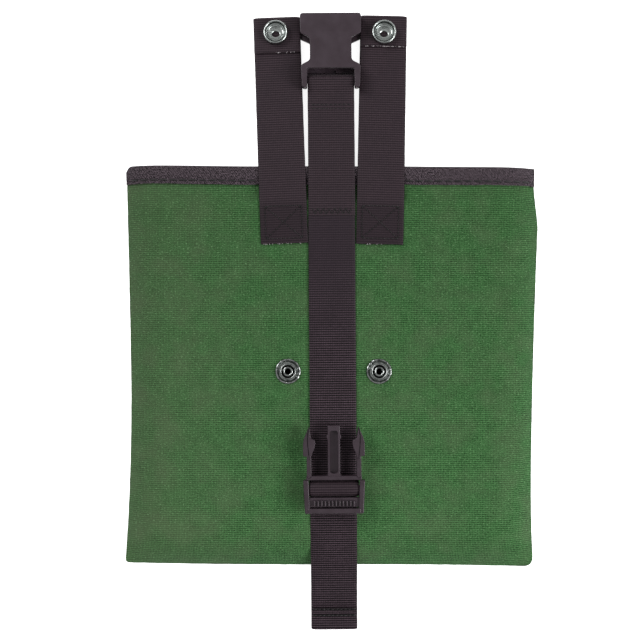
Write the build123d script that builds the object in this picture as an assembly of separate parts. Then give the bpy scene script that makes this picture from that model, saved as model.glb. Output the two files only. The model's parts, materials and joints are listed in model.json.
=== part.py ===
from build123d import *
import math
import os

# Hang-on sand pouch: a flat canvas bag with a bound mouth, two snap hangers, and a buckled centre strap.
# Millimetres. +Z is up from the table that the bag lies on, +Y is towards the mouth, and X is across.
# The origin is on the table, under the middle of the whole piece.

os.makedirs("parts", exist_ok=True)

# --- driving dimensions: the bag ------------------------------------------------------------------
BAG_WIDTH = 216.0          # side seam to side seam
MOUTH_Y = 81.5             # cut edge of the canvas at the mouth
BOTTOM_Y = -127.7          # bottom seam
CANVAS = 1.0               # canvas thickness
POCKET_TOP = 11.0          # height of the strap panel over its flat middle
SEAM_TOP = 2.0             # height of the edge where the two panels are sewn together
SIDE_RISE = 20.0           # width of the slope beside each side seam
BOTTOM_RISE = 22.7         # width of the slope above the bottom seam
RAMP = (-2.2, 6.3)         # fold line to where the panel starts and ends its drop towards the mouth
MOUTH_CLEARANCE = 0.42     # hangers over the bound edge of the mouth
ALLOWANCE = 9.0            # seam allowance turned in at the sides and the bottom
CORNER_RADIUS = 4.0        # bottom corners
CUT_BEYOND = 40.0          # how far cutting shapes reach past what they cut

# --- driving dimensions: binding and thread -------------------------------------------------------
TAPE = 0.45                # binding tape thickness
TAPE_DEPTH = 10.4          # how far the binding reaches down from the mouth
TAPE_STITCH_INSET = 7.3    # mouth edge to the row of stitches
THREAD = 0.4               # thread thickness
STITCH_PITCH = 9.0         # distance between the legs of a long row
TACK_PITCH = 3.0           # the same in the short rows on the straps
LOW_BEAD = 0.15            # height of the lowest beads over the table
STITCH_MARGIN = 1.5        # edge of the webbing to its stitching

# --- driving dimensions: webbing ------------------------------------------------------------------
WEB_WIDTH = 24.5
WEB = 1.3                  # webbing thickness
FOLD_Y = 64.2              # line where the hangers and the buckle strap fold over
ANCHOR_LENGTH = 22.9       # sewn-down end of a hanger
HANGER_LENGTH = 100.3      # fold line to the free end
HANGER_HEM = 18.9          # doubled end that carries the snap
HANGER_CLEARANCE = -2.2    # hanger's inner edge to the buckle's side, at the root, before it leans away
LEFT_LEAN = 2.15           # degrees that each strap leans on the bag
RIGHT_LEAN = -0.94
CENTRE_LEAN = 0.44
CENTRE_X = -0.4            # sideways place of the buckle strap at its fold line
SNAP_REACH = 91.3          # fold line to the middle of the snap
LEFT_SNAP_OFFSET = -0.9    # snap centre from the strap's middle
BOX_STITCH = (19.4, 19.2)  # width and length of the box-and-cross stitching
BOX_INSET = 3.1            # fold line to the box
BARTACK = (0.6, 5.4)       # lift line to the two ends of the centre strap's tack
LIFT_REACH = 8.5           # fold line to the line where the lower buckle strap lifts
LIFT_GAP = 0.2
FOLD_GAP = 0.3             # sewn part of a strap to its free part, measured along it
LOOP_CLOSE = 11.0          # socket's bar to where the strap's loop closes
LOOP_HEM = 17.0            # socket's bar to the cut end of the loop
LOOP_STITCH = (15.5, 13.0) # socket's bar to the two rows that close the loop
LOOP_SPLIT = (1.5, 0.2)    # where the two layers part inside the loop, and how thick the cusp is
TAIL_Y = -165.0            # free end of the lower strap
TAIL_HEM = 11.3
TAIL_STITCH_INSET = 2.0    # cut edge of the tail hem to its stitching
TAIL_X = 0.3               # sideways place of the lower strap
DROOP_Y = -107.0           # where the lower strap starts to droop over the bag's bottom
STRAP_REST = 0.2           # clearance between the lower strap and the panel
BIGHT_GAP = 0.3            # the same between the strap and its turn over the plug's bar
FLOOR_GAP = 0.4            # height of the lowest free point over the table

# --- driving dimensions: snap fasteners -----------------------------------------------------------
CAP_RADIUS = 6.3
CAP_DOME = 1.5
CAP_EDGE = 0.3             # straight rim under the dome
BARREL_RADIUS = 2.0
BARREL_BORE = 1.4
SOCKET_RADIUS = 6.4
SOCKET_HEIGHT = 3.6
SOCKET_BORE = 4.4
SOCKET_FLOOR = 0.5
ROLLED_LIP = (0.9, 0.35)   # width and thickness of the cap's rolled end
SNAP_ROUND = 0.4           # broken edges of the cup
SPRING_GROOVE = 0.4        # depth and half height of the spring's groove
SPRING_WIRE = 0.3          # wire radius of the ring spring
SPRING_RADIUS = 4.05
SPRING_SEAT = 2.95         # height of the spring over the hem
SPRING_ARC = 330           # degrees of the ring that the spring fills
STUD_FLANGE_RADIUS = 6.95
STUD_FLANGE = 0.9
STUD_NECK = 3.6
STUD_NECK_LENGTH = 1.3
STUD_HEAD = 4.0
STUD_HEIGHT = 3.5
STUD_ROUND = 0.2           # broken edges of the head
STUD_RIM = 1.2             # width of the raised rim on the head
STUD_WELL = 0.5            # depth inside that rim
EYELET_RADIUS = 1.45
EYELET_BORE = 1.1
EYELET_FLANGE = 4.5
EYELET_THICKNESS = 0.6
EYELET_ROLL = 0.4          # thickness of its rolled end
SNAP_GAP = 0.25            # socket rim to stud flange when snapped
HOLE_CLEARANCE = 0.05

# --- driving dimensions: side-release buckle ------------------------------------------------------
BUCKLE_MARGIN = 8.0        # buckle's width more than the webbing's
BAR_REACH = 65.0           # fold line to the webbing bar of the socket half
BAR_HEIGHT = 7.5           # height of that bar at rest
BAR_RADIUS = 1.6
BAR_CLEARANCE = 0.1        # webbing around a bar
SOCKET_LENGTH = 36.3       # webbing bar to the mouth plane
SOCKET_HALF = 4.7          # half thickness of the socket half
SOCKET_WALL = 1.5
CAVITY_HALF = 3.3          # half height of the cavity
EDGE_BREAK = 0.9           # bevel around both faces of the socket half
RING_LENGTH = 9.8          # closed ring at the mouth
WAIST_INSET = 5.45         # socket's side to its waist
WAIST_SHOULDER = 4.8       # length of the slope from the waist out to the ring
ARCH_FOOT = (1.2, 3.9)     # arch to where its sides turn in, and to where they reach the waist
MOUTH_CORNER = 1.2         # cut corners at the mouth
ARCH_START = 6.9           # webbing bar to the arch
CAVITY_END = 9.6           # webbing bar to the far end of the cavity
FRAME_ARM = 2.5            # thickness of the two arms that hold the bar
FRAME_ARM_INSET = 1.05     # those arms' outer faces from the socket's side
FRAME_ARM_TAIL = 4.0       # how far those arms reach past the bar
FRAME_ARM_HALF = 3.2
FRAME_ARM_ROUND = 1.5
FRAME_ARM_LAP = 0.5        # how far arms and bars run into what carries them
PLUG_HEIGHT = 17.6         # height of the buckle's middle plane when mated
PLUG_Y = -88.9             # ladder bar of the plug at rest
LADDER_BAR_RADIUS = 1.5
LADDER_BAR_DROP = 0.6      # ladder bar below the middle plane
CROSSBAR = (4.8, 7.15)     # crossbar, as distances from the ladder bar
NECK_LENGTH = 10.35        # crossbar to the barb's step
ARM_INSET = 1.85           # plug's side to the outer faces of its arms
ARM_WIDTH = 2.45
NECK_HALF = 1.9
BARB_HALF = 2.7
TONGUE_HALF_WIDTH = 3.3
TONGUE_HALF = 1.8
TONGUE_REACH = 33.7
KNUCKLE_CLEARANCE = 0.05
RAIL = 2.7                 # width of the ladder's side rails
RAIL_HALF = 2.3
RAIL_SPREAD = (0.1, -0.8)  # rails' outer faces past half the width, at the crossbar and at the lip
RIB_PLATE = (-9.6, -4.5)   # ribbed plate, from the ladder bar
RIB_PLATE_DROP = 0.7       # its face below the rails' faces
LIP = (-13.5, -9.6)        # thumb lip, from the ladder bar
LIP_DROP = 0.3
PLATE_INSET = 2.0          # ends of the plate and the lip from the sides
RIB_SPAN = (-9.2, -5.6)
RIB = (1.0, 0.7)           # width and height of a rib
TONGUE_NUB = (26.8, 28.6)  # small side nubs on the tongue, from the ladder bar
TONGUE_NUB_SIZE = (0.6, 1.2)
CHANNEL = (2.0, 1.1)       # half width and depth of the tongue's channel
CHANNEL_ENDS = (1.6, 3.4)  # crossbar and tip to the channel's ends
BARB_OUTLINE = [           # corners after the step, as distances in from the side and past the step
    (0.0, 8.1), (2.75, 14.9), (3.75, 15.1), (4.25, 9.1), (6.45, 8.3), (6.45, 5.1),
]
SHOULDER_LAP = 0.4         # crossbar past the arms
MATING_GAP = 0.4           # crossbar to socket mouth when mated
RIB_COUNT = 12
RIB_PITCH = 1.9

# --- worked out from the dimensions above ---------------------------------------------------------
WEB_TOP = POCKET_TOP + WEB
LIFT_Y = FOLD_Y - LIFT_REACH
MOUTH_RAMP = (FOLD_Y + RAMP[0], FOLD_Y + RAMP[1])
BUCKLE_WIDTH = WEB_WIDTH + BUCKLE_MARGIN
HANGER_ROOT_X = (BUCKLE_WIDTH + WEB_WIDTH) / 2 + HANGER_CLEARANCE
WAIST_HALF = BUCKLE_WIDTH / 2 - WAIST_INSET
ARM_OUTER = BUCKLE_WIDTH / 2 - ARM_INSET
SNAPS = [(-HANGER_ROOT_X, LEFT_LEAN, LEFT_SNAP_OFFSET), (HANGER_ROOT_X, RIGHT_LEAN, 0.0)]
SNAP_STACK = STUD_FLANGE + SNAP_GAP + SOCKET_HEIGHT  # hem face to panel when snapped
FOLD_ARM = SNAP_STACK / 2                            # fold axis to the strap's upper face
FOLD_HEIGHT = WEB_TOP + FOLD_ARM


def slope_to(reach, below, height):
    """Degrees a strap falls so that a point at that reach, that far below the axis, has that height."""
    length = math.hypot(reach, below)
    return math.degrees(math.asin((FOLD_HEIGHT - height) / length) - math.atan2(below, reach))


HANGER_SLOPE = slope_to(SNAP_REACH, FOLD_ARM + WEB + CAP_DOME, FLOOR_GAP)
HANGER_FOLD = 180 + HANGER_SLOPE
MOUTH_FALL = (MOUTH_Y - FOLD_Y) * math.tan(math.radians(HANGER_SLOPE))
MOUTH_TOP = POCKET_TOP - MOUTH_FALL - TAPE - MOUTH_CLEARANCE
BAR_BELOW = FOLD_ARM + WEB / 2
UPPER_SLOPE = slope_to(BAR_REACH, BAR_BELOW, BAR_HEIGHT)
BAR_LENGTH = math.hypot(BAR_REACH, BAR_BELOW)
BAR_REST_ANGLE = math.degrees(math.asin((FOLD_HEIGHT - BAR_HEIGHT) / BAR_LENGTH))
BAR_MATED_ANGLE = math.degrees(math.asin((PLUG_HEIGHT - FOLD_HEIGHT) / BAR_LENGTH))
UPPER_FOLD = 180 + BAR_REST_ANGLE - BAR_MATED_ANGLE
SOCKET_TILT = UPPER_FOLD - 180
MATED_BAR_REACH = BAR_LENGTH * math.cos(math.radians(BAR_MATED_ANGLE))
PLUG_REACH = (FOLD_Y - PLUG_Y) / math.cos(math.radians(CENTRE_LEAN))
PLUG_TRAVEL = PLUG_REACH - CROSSBAR[1] - MATED_BAR_REACH - SOCKET_LENGTH - MATING_GAP


# --- helpers --------------------------------------------------------------------------------------
def block(x, y, z):
    """A box from its lowest and highest values along each axis."""
    size = [b - a for a, b in (x, y, z)]
    middle = [(a + b) / 2 for a, b in (x, y, z)]
    return Pos(*middle) * Box(*size)


def side_prism(points, width):
    """A prism across X from an outline in Y and Z."""
    return extrude(Plane.YZ * make_face(Polyline(*points, close=True)), amount=width / 2, both=True)


def plan_prism(points, low, high):
    """A prism along Z from an outline in X and Y."""
    return Pos(0, 0, low) * extrude(make_face(Polyline(*points, close=True)), amount=high - low)


def mirrored(points):
    """Right-hand outline points, followed by the same points on the left."""
    return points + [(-x, y) for x, y in reversed(points)]


def turned(points):
    """A solid of revolution about Z from radius and height points."""
    return revolve(Plane.XZ * make_face(Polyline(*points, close=True)), Axis.Z)


def thickened(points, thickness):
    """The outline of a ribbon: its lower line, and the line that lies one thickness over it."""
    upper = []
    for i, (y, z) in enumerate(points):
        before = points[max(i - 1, 0)]
        after = points[min(i + 1, len(points) - 1)]
        turn_in = math.atan2(z - before[1], y - before[0]) if i else None
        turn_out = math.atan2(after[1] - z, after[0] - y) if after != (y, z) else None
        first = turn_out if turn_in is None else turn_in
        last = turn_in if turn_out is None else turn_out
        middle = (first + last) / 2
        reach = thickness / math.cos((last - first) / 2)
        upper.append((y + reach * math.sin(middle), z - reach * math.cos(middle)))
    return points + upper[::-1]


def thread_run(path, upper, lower, pitch):
    """A row of stitching: a bead above the cloth, a bead below it, and legs through it."""
    parts = []
    for (x0, y0), (x1, y1) in zip(path, path[1:]):
        length = math.hypot(x1 - x0, y1 - y0)
        angle = math.degrees(math.atan2(y1 - y0, x1 - x0))
        place = Pos(x0, y0, 0) * Rot(0, 0, angle)
        for height in (upper - THREAD, lower):
            parts.append(place * block((0, length), (-THREAD / 2, THREAD / 2), (height, height + THREAD)))
        legs = max(1, round(length / pitch))
        for i in range(legs + 1):
            x = length * i / legs
            leg = block((x - THREAD / 2, x + THREAD / 2), (-THREAD / 2, THREAD / 2), (lower, upper))
            parts.append(place * leg)
    return parts[0].fuse(*parts[1:])


def root_frame(x, lean):
    """A strap's frame at its fold line, on the bag."""
    return Pos(x, FOLD_Y, WEB_TOP) * Rot(0, 0, lean)


def strap_frame(x, lean, slope):
    """A free strap's frame: Y along the strap, and Z = 0 on its upper face."""
    return root_frame(x, lean) * Pos(0, 0, FOLD_ARM) * Rot(-slope, 0, 0) * Pos(0, 0, -FOLD_ARM)


# --- the bag --------------------------------------------------------------------------------------
def pocket(inset):
    """The space under the strap panel, open towards the mouth and the table, with its walls moved in."""
    below, beyond = -CUT_BEYOND, MOUTH_Y + CUT_BEYOND
    half = BAG_WIDTH / 2
    side = [
        (BOTTOM_Y, below), (BOTTOM_Y, SEAM_TOP), (BOTTOM_Y + BOTTOM_RISE, POCKET_TOP),
        (MOUTH_RAMP[0], POCKET_TOP), (MOUTH_RAMP[1], MOUTH_TOP), (beyond, MOUTH_TOP), (beyond, below),
    ]
    cross = mirrored([(half, below), (half, SEAM_TOP), (half - SIDE_RISE, POCKET_TOP)])
    side_face = make_face(Polyline(*side, close=True))
    cross_face = make_face(Polyline(*cross, close=True))
    if inset:
        side_face = offset(side_face, -inset, kind=Kind.INTERSECTION)
        cross_face = offset(cross_face, -inset, kind=Kind.INTERSECTION)
    along = extrude(Plane.YZ * side_face, amount=BAG_WIDTH, both=True)
    across = extrude(Plane.XZ * cross_face, amount=2 * (beyond - BOTTOM_Y), both=True)
    return along & across


def strap_panel():
    half = BAG_WIDTH / 2
    room = block((-half, half), (BOTTOM_Y, MOUTH_Y), (CANVAS, POCKET_TOP))
    shell = (pocket(0) & room) - pocket(CANVAS)
    tape_start = MOUTH_Y - TAPE_DEPTH
    allowance = block((-half, half), (BOTTOM_Y, tape_start), (CANVAS, SEAM_TOP))
    allowance -= block(
        (-half + ALLOWANCE, half - ALLOWANCE), (BOTTOM_Y + ALLOWANCE, tape_start + 1), (0, POCKET_TOP)
    )
    panel = shell + allowance
    for x, lean, snap in SNAPS:
        panel -= root_frame(x, lean) * Pos(snap, -SNAP_REACH, 0) * Cylinder(
            EYELET_RADIUS + HOLE_CLEARANCE, CUT_BEYOND
        )
    return panel


def rear_panel():
    half = BAG_WIDTH / 2
    plate = block((-half, half), (BOTTOM_Y, MOUTH_Y), (0, CANVAS))
    plate = fillet(plate.edges().filter_by(Axis.Z).sort_by(Axis.Y)[:2], CORNER_RADIUS)
    return plate - block((-half, half), (MOUTH_Y - TAPE_DEPTH, MOUTH_Y), (0, TAPE))


def front_mouth_binding():
    reach = BAG_WIDTH / 2 + 2 * TAPE
    room = block((-reach, reach), (MOUTH_Y - TAPE_DEPTH, MOUTH_Y + TAPE), (CANVAS, POCKET_TOP))
    canvas = (pocket(0) - pocket(CANVAS)) & block((-reach, reach), (BOTTOM_Y, MOUTH_Y), (0, POCKET_TOP))
    return ((pocket(-TAPE) - pocket(CANVAS + TAPE)) & room) - canvas


def rear_mouth_binding():
    half = BAG_WIDTH / 2
    start = MOUTH_Y - TAPE_DEPTH
    inner_half = half - CANVAS - 4 * TAPE
    under = block((-half, half), (start, MOUTH_Y + TAPE), (0, TAPE))
    nose = block((-half, half), (MOUTH_Y, MOUTH_Y + TAPE), (0, CANVAS))
    inside = block((-inner_half, inner_half), (start, MOUTH_Y + TAPE), (CANVAS, CANVAS + TAPE))
    return under + nose + inside


def side_seam_thread():
    x = BAG_WIDTH / 2 - ALLOWANCE / 2
    top, low = MOUTH_Y - TAPE_DEPTH - ALLOWANCE / 2, BOTTOM_Y + ALLOWANCE / 2
    path = [(-x, top), (-x, low), (x, low), (x, top)]
    return thread_run(path, SEAM_TOP + THREAD, LOW_BEAD, STITCH_PITCH)


def binding_stitching(upper, lower):
    y = MOUTH_Y - TAPE_STITCH_INSET
    x = BAG_WIDTH / 2 - SIDE_RISE
    return thread_run([(-x, y), (x, y)], upper, lower, STITCH_PITCH)


# --- straps sewn to the bag -----------------------------------------------------------------------
def anchor(x, lean, start, end):
    return root_frame(x, lean) * block((-WEB_WIDTH / 2, WEB_WIDTH / 2), (start, end), (-WEB, 0))


def box_stitching(x, lean):
    half, length = BOX_STITCH[0] / 2, BOX_STITCH[1]
    top, low = -BOX_INSET, -BOX_INSET - length
    path = [(-half, low), (half, low), (half, top), (-half, top), (-half, low), (half, top)]
    run = thread_run(path, THREAD, -WEB - CANVAS - THREAD, TACK_PITCH)
    cross = thread_run([(-half, top), (half, low)], THREAD, -WEB - CANVAS - THREAD, TACK_PITCH)
    return root_frame(x, lean) * (run + cross)


def bartack():
    half = WEB_WIDTH / 2 - STITCH_MARGIN
    far, near = BARTACK[0] - LIFT_REACH, BARTACK[1] - LIFT_REACH
    path = [(-half, far), (half, near), (half, far), (-half, near), (-half, far)]
    return root_frame(CENTRE_X, CENTRE_LEAN) * thread_run(path, THREAD, -WEB - CANVAS - THREAD, TACK_PITCH)


# --- snap fasteners -------------------------------------------------------------------------------
def snap_cap():
    """Domed cap under the strap. Its barrel goes through both layers and is rolled over in the socket."""
    rise = CAP_DOME - CAP_EDGE
    ball = (CAP_RADIUS ** 2 + rise ** 2) / (2 * rise)
    top, foot = -WEB - CAP_EDGE, WEB + SOCKET_FLOOR
    dome = Pos(0, 0, top - rise + ball) * Sphere(ball)
    dome &= block((-CAP_RADIUS, CAP_RADIUS), (-CAP_RADIUS, CAP_RADIUS), (-WEB - CAP_DOME, top))
    barrel = turned([
        (0, top), (CAP_RADIUS, top), (CAP_RADIUS, -WEB), (BARREL_RADIUS, -WEB), (BARREL_RADIUS, foot),
        (BARREL_RADIUS + ROLLED_LIP[0], foot), (BARREL_RADIUS + ROLLED_LIP[0], foot + ROLLED_LIP[1]),
        (BARREL_BORE, foot + ROLLED_LIP[1]), (BARREL_BORE, -WEB), (0, -WEB),
    ])
    return dome + barrel


def snap_socket():
    """Cup on the hem face, with a groove for the ring spring."""
    rim, floor, inside = WEB + SOCKET_HEIGHT, WEB + SOCKET_FLOOR, BARREL_RADIUS + HOLE_CLEARANCE
    low, high = WEB + SPRING_SEAT - SPRING_GROOVE, WEB + SPRING_SEAT + SPRING_GROOVE
    return turned([
        (inside, WEB), (SOCKET_RADIUS - SNAP_ROUND, WEB), (SOCKET_RADIUS, WEB + SNAP_ROUND),
        (SOCKET_RADIUS, rim - SNAP_ROUND), (SOCKET_RADIUS - SNAP_ROUND, rim),
        (SOCKET_BORE + SNAP_ROUND / 2, rim), (SOCKET_BORE, rim - SNAP_ROUND / 2), (SOCKET_BORE, high),
        (SOCKET_BORE + SPRING_GROOVE, high), (SOCKET_BORE + SPRING_GROOVE, low), (SOCKET_BORE, low),
        (SOCKET_BORE, floor), (inside, floor),
    ])


def snap_spring():
    wire = Plane.XZ * Pos(SPRING_RADIUS, WEB + SPRING_SEAT) * Circle(SPRING_WIRE)
    return revolve(wire, Axis.Z, revolution_arc=SPRING_ARC)


def stud():
    """Post half of the snap, on the bag. Z = 0 is the face of the canvas."""
    neck = STUD_FLANGE + STUD_NECK_LENGTH
    hole = EYELET_RADIUS + HOLE_CLEARANCE
    well = STUD_HEIGHT - STUD_WELL
    return turned([
        (hole, 0), (STUD_FLANGE_RADIUS, 0), (STUD_FLANGE_RADIUS, STUD_FLANGE - STUD_ROUND),
        (STUD_FLANGE_RADIUS - STUD_ROUND, STUD_FLANGE), (STUD_NECK, STUD_FLANGE), (STUD_NECK, neck),
        (STUD_HEAD, neck + STUD_ROUND), (STUD_HEAD, STUD_HEIGHT - STUD_ROUND),
        (STUD_HEAD - STUD_ROUND, STUD_HEIGHT), (STUD_HEAD - STUD_RIM, STUD_HEIGHT),
        (STUD_HEAD - STUD_RIM, well), (hole, well),
    ])


def stud_eyelet():
    """Post inside the bag. Its flange holds the canvas, and its end is rolled into the stud's top."""
    well, under = STUD_HEIGHT - STUD_WELL, -CANVAS - EYELET_THICKNESS
    roll = STUD_HEAD - STUD_RIM - STUD_ROUND
    return turned([
        (EYELET_BORE, under), (EYELET_FLANGE, under), (EYELET_FLANGE, -CANVAS), (EYELET_RADIUS, -CANVAS),
        (EYELET_RADIUS, well), (roll, well), (roll, well + EYELET_ROLL), (EYELET_BORE, well + EYELET_ROLL),
    ])


# --- hangers --------------------------------------------------------------------------------------
def hanger_strap(snap_x):
    half = WEB_WIDTH / 2
    start = 2 * FOLD_ARM * math.sin(math.radians(HANGER_SLOPE)) + FOLD_GAP
    band = block((-half, half), (start, HANGER_LENGTH), (-WEB, 0))
    hem = block((-half, half), (HANGER_LENGTH - HANGER_HEM, HANGER_LENGTH), (0, WEB))
    hole = Pos(snap_x, SNAP_REACH, 0) * Cylinder(BARREL_RADIUS + HOLE_CLEARANCE, CUT_BEYOND)
    return band + hem - hole


# --- buckle strap ---------------------------------------------------------------------------------
def upper_buckle_strap():
    """Ribbon whose end goes round the socket's bar and is sewn back under itself."""
    start = 2 * FOLD_ARM * math.sin(math.radians(UPPER_SLOPE)) + FOLD_GAP
    middle, close, back = -WEB / 2, BAR_REACH - LOOP_CLOSE, BAR_REACH - LOOP_HEM
    inner = BAR_RADIUS + BAR_CLEARANCE
    outer = inner + WEB
    ribbon = side_prism([
        (start, -WEB), (start, 0), (close, 0), (close, -2 * WEB), (back, -2 * WEB), (back, -WEB)
    ], WEB_WIDTH)
    wrap = Pos(BAR_REACH, middle) * Circle(outer)
    seat = Pos(BAR_REACH, middle) * Circle(inner)
    sewn = Pos(close, -WEB) * Rectangle(LOOP_SPLIT[1], 2 * WEB)
    split = Pos(close + LOOP_SPLIT[0], -WEB) * Rectangle(LOOP_SPLIT[1], LOOP_SPLIT[1] / 2)
    loop = make_hull(wrap.edges() + sewn.edges())
    eye = make_hull(seat.edges() + split.edges())
    return ribbon + extrude(Plane.YZ * (loop - eye), amount=WEB_WIDTH / 2, both=True)


def loop_stitching():
    half = WEB_WIDTH / 2 - STITCH_MARGIN
    near, far = BAR_REACH - LOOP_STITCH[0], BAR_REACH - LOOP_STITCH[1]
    return thread_run([(-half, near), (half, near), (half, far), (-half, far), (-half, near)],
                      THREAD, -2 * WEB - THREAD, TACK_PITCH)


def lower_line():
    """Lower face of the lower buckle strap: flat on the bag, and drooping past its bottom seam."""
    rest = POCKET_TOP + STRAP_REST
    return [(LIFT_Y, rest), (DROOP_Y, rest), (TAIL_Y, FLOOR_GAP)]


def lower_buckle_strap():
    line = lower_line()
    # the line runs towards -Y, so the side that lies over it is on the line's right
    band = side_prism(thickened(line[::-1], -WEB), WEB_WIDTH)
    (y0, z0), (y1, z1) = line[1], line[2]
    fall = math.atan2(z0 - z1, y0 - y1)
    hem = Pos(0, y1, z1) * Rot(math.degrees(fall), 0, 0) * block(
        (-WEB_WIDTH / 2, WEB_WIDTH / 2), (0, TAIL_HEM), (WEB, 2 * WEB)
    )
    return Pos(TAIL_X, 0, 0) * (band + hem)


def tail_hem_stitching():
    (y0, z0), (y1, z1) = lower_line()[1:]
    fall = math.degrees(math.atan2(z0 - z1, y0 - y1))
    half, y = WEB_WIDTH / 2 - STITCH_MARGIN, TAIL_HEM - TAIL_STITCH_INSET
    return Pos(TAIL_X, y1, z1) * Rot(fall, 0, 0) * thread_run(
        [(-half, y), (half, y)], 2 * WEB + THREAD, -THREAD / 2, TACK_PITCH
    )


# --- socket half of the buckle: origin at the webbing bar, +Y towards the mouth -------------------
def buckle_socket():
    half, mouth = BUCKLE_WIDTH / 2, SOCKET_LENGTH
    ring = mouth - RING_LENGTH
    outer = half - FRAME_ARM_INSET
    outline = mirrored([
        (outer, ARCH_START), (outer, ARCH_START + ARCH_FOOT[0]), (WAIST_HALF, ARCH_START + ARCH_FOOT[1]),
        (WAIST_HALF, ring - WAIST_SHOULDER), (half, ring), (half, mouth - MOUTH_CORNER),
        (half - MOUTH_CORNER, mouth),
    ])
    face = make_face(Polyline(*outline, close=True))
    upper_half = extrude(face, amount=SOCKET_HALF - EDGE_BREAK)
    upper_half += Pos(0, 0, SOCKET_HALF - EDGE_BREAK) * extrude(face, amount=EDGE_BREAK, taper=45)
    body = upper_half + mirror(upper_half, Plane.XY)
    inner = half - SOCKET_WALL
    body -= block((-inner, inner), (CAVITY_END, mouth + 1), (-CAVITY_HALF, CAVITY_HALF))
    body -= block((-half, half), (CAVITY_END, ring), (-CAVITY_HALF, CAVITY_HALF))
    arm = block(
        (outer - FRAME_ARM, outer), (-FRAME_ARM_TAIL, ARCH_START + FRAME_ARM_LAP),
        (-FRAME_ARM_HALF, FRAME_ARM_HALF),
    )
    arm = fillet(arm.edges().filter_by(Axis.X).sort_by(Axis.Y)[:2], FRAME_ARM_ROUND)
    bar = Rot(0, 90, 0) * Cylinder(BAR_RADIUS, 2 * (outer - FRAME_ARM_LAP))
    return body + arm + mirror(arm, Plane.YZ) + bar


# --- plug half: origin on its middle plane over the ladder bar, +Y towards the tips ---------------
def buckle_plug():
    half = BUCKLE_WIDTH / 2
    wide, narrow = half + RAIL_SPREAD[0], half + RAIL_SPREAD[1]
    low, high = CROSSBAR
    rail = plan_prism(
        [(wide, low), (wide - RAIL, low), (narrow - RAIL, LIP[0]), (narrow, LIP[0])], -RAIL_HALF, RAIL_HALF
    )
    shoulder = ARM_OUTER + SHOULDER_LAP
    crossbar = block((-shoulder, shoulder), (low, high), (-BARB_HALF, BARB_HALF))
    seat = Pos(ARM_OUTER - ARM_WIDTH / 2, high, 0) * Cylinder(ARM_WIDTH / 2 + KNUCKLE_CLEARANCE, CUT_BEYOND)
    ladder_bar = Pos(0, 0, -LADDER_BAR_DROP) * Rot(0, 90, 0) * Cylinder(LADDER_BAR_RADIUS, 2 * half - RAIL)
    span = (-half + PLATE_INSET, half - PLATE_INSET)
    plate = block(span, RIB_PLATE, (-RAIL_HALF, RAIL_HALF - RIB_PLATE_DROP))
    lip = block(span, LIP, (-RAIL_HALF, RAIL_HALF - LIP_DROP))
    tongue = block((-TONGUE_HALF_WIDTH, TONGUE_HALF_WIDTH), (low, TONGUE_REACH), (-TONGUE_HALF, TONGUE_HALF))
    nub = TONGUE_HALF_WIDTH + TONGUE_NUB_SIZE[0]
    nubs = block((-nub, nub), TONGUE_NUB, (-TONGUE_NUB_SIZE[1], TONGUE_NUB_SIZE[1]))
    channel = block(
        (-CHANNEL[0], CHANNEL[0]), (high + CHANNEL_ENDS[0], TONGUE_REACH - CHANNEL_ENDS[1]),
        (TONGUE_HALF - CHANNEL[1], TONGUE_HALF + 1),
    )
    ribs = [
        block((x - RIB[0] / 2, x + RIB[0] / 2), RIB_SPAN, (RAIL_HALF - 2 * RIB[1], RAIL_HALF))
        for x in [(i - (RIB_COUNT - 1) / 2) * RIB_PITCH for i in range(RIB_COUNT)]
    ]
    body = rail + mirror(rail, Plane.YZ) + crossbar + ladder_bar + plate + lip + nubs + (tongue - channel)
    return body.fuse(*ribs) - seat - mirror(seat, Plane.YZ)


def release_arm():
    """Right-hand arm: a neck on a round root, and a barb that locks behind the socket's ring."""
    half = BUCKLE_WIDTH / 2
    root = CROSSBAR[1]
    step = root + NECK_LENGTH
    inner = ARM_OUTER - ARM_WIDTH
    neck = block((inner, ARM_OUTER), (root, step + FRAME_ARM_LAP), (-NECK_HALF, NECK_HALF))
    knuckle = Pos(ARM_OUTER - ARM_WIDTH / 2, root, 0) * Cylinder(ARM_WIDTH / 2, 2 * NECK_HALF)
    corners = [(half - inward, step + past) for inward, past in BARB_OUTLINE]
    barb = plan_prism([(inner, step), (half, step)] + corners, -BARB_HALF, BARB_HALF)
    return neck + knuckle + barb


def webbing_bight():
    """The webbing's turn over the ladder bar, which travels with the plug."""
    inner = LADDER_BAR_RADIUS + BAR_CLEARANCE
    outer = inner + WEB
    axis = -LADDER_BAR_DROP
    foot = POCKET_TOP + STRAP_REST + WEB + BIGHT_GAP - PLUG_HEIGHT
    over = Pos(0, axis) * Circle(outer) + Pos(0, (foot + axis) / 2) * Rectangle(2 * outer, axis - foot)
    under = Pos(0, axis) * Circle(inner) + Pos(0, axis - CUT_BEYOND / 2) * Rectangle(2 * inner, CUT_BEYOND)
    return extrude(Plane.YZ * (over - under), amount=WEB_WIDTH / 2, both=True) & block(
        (-CUT_BEYOND, CUT_BEYOND), (-CUT_BEYOND, CUT_BEYOND), (foot, CUT_BEYOND)
    )


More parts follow.
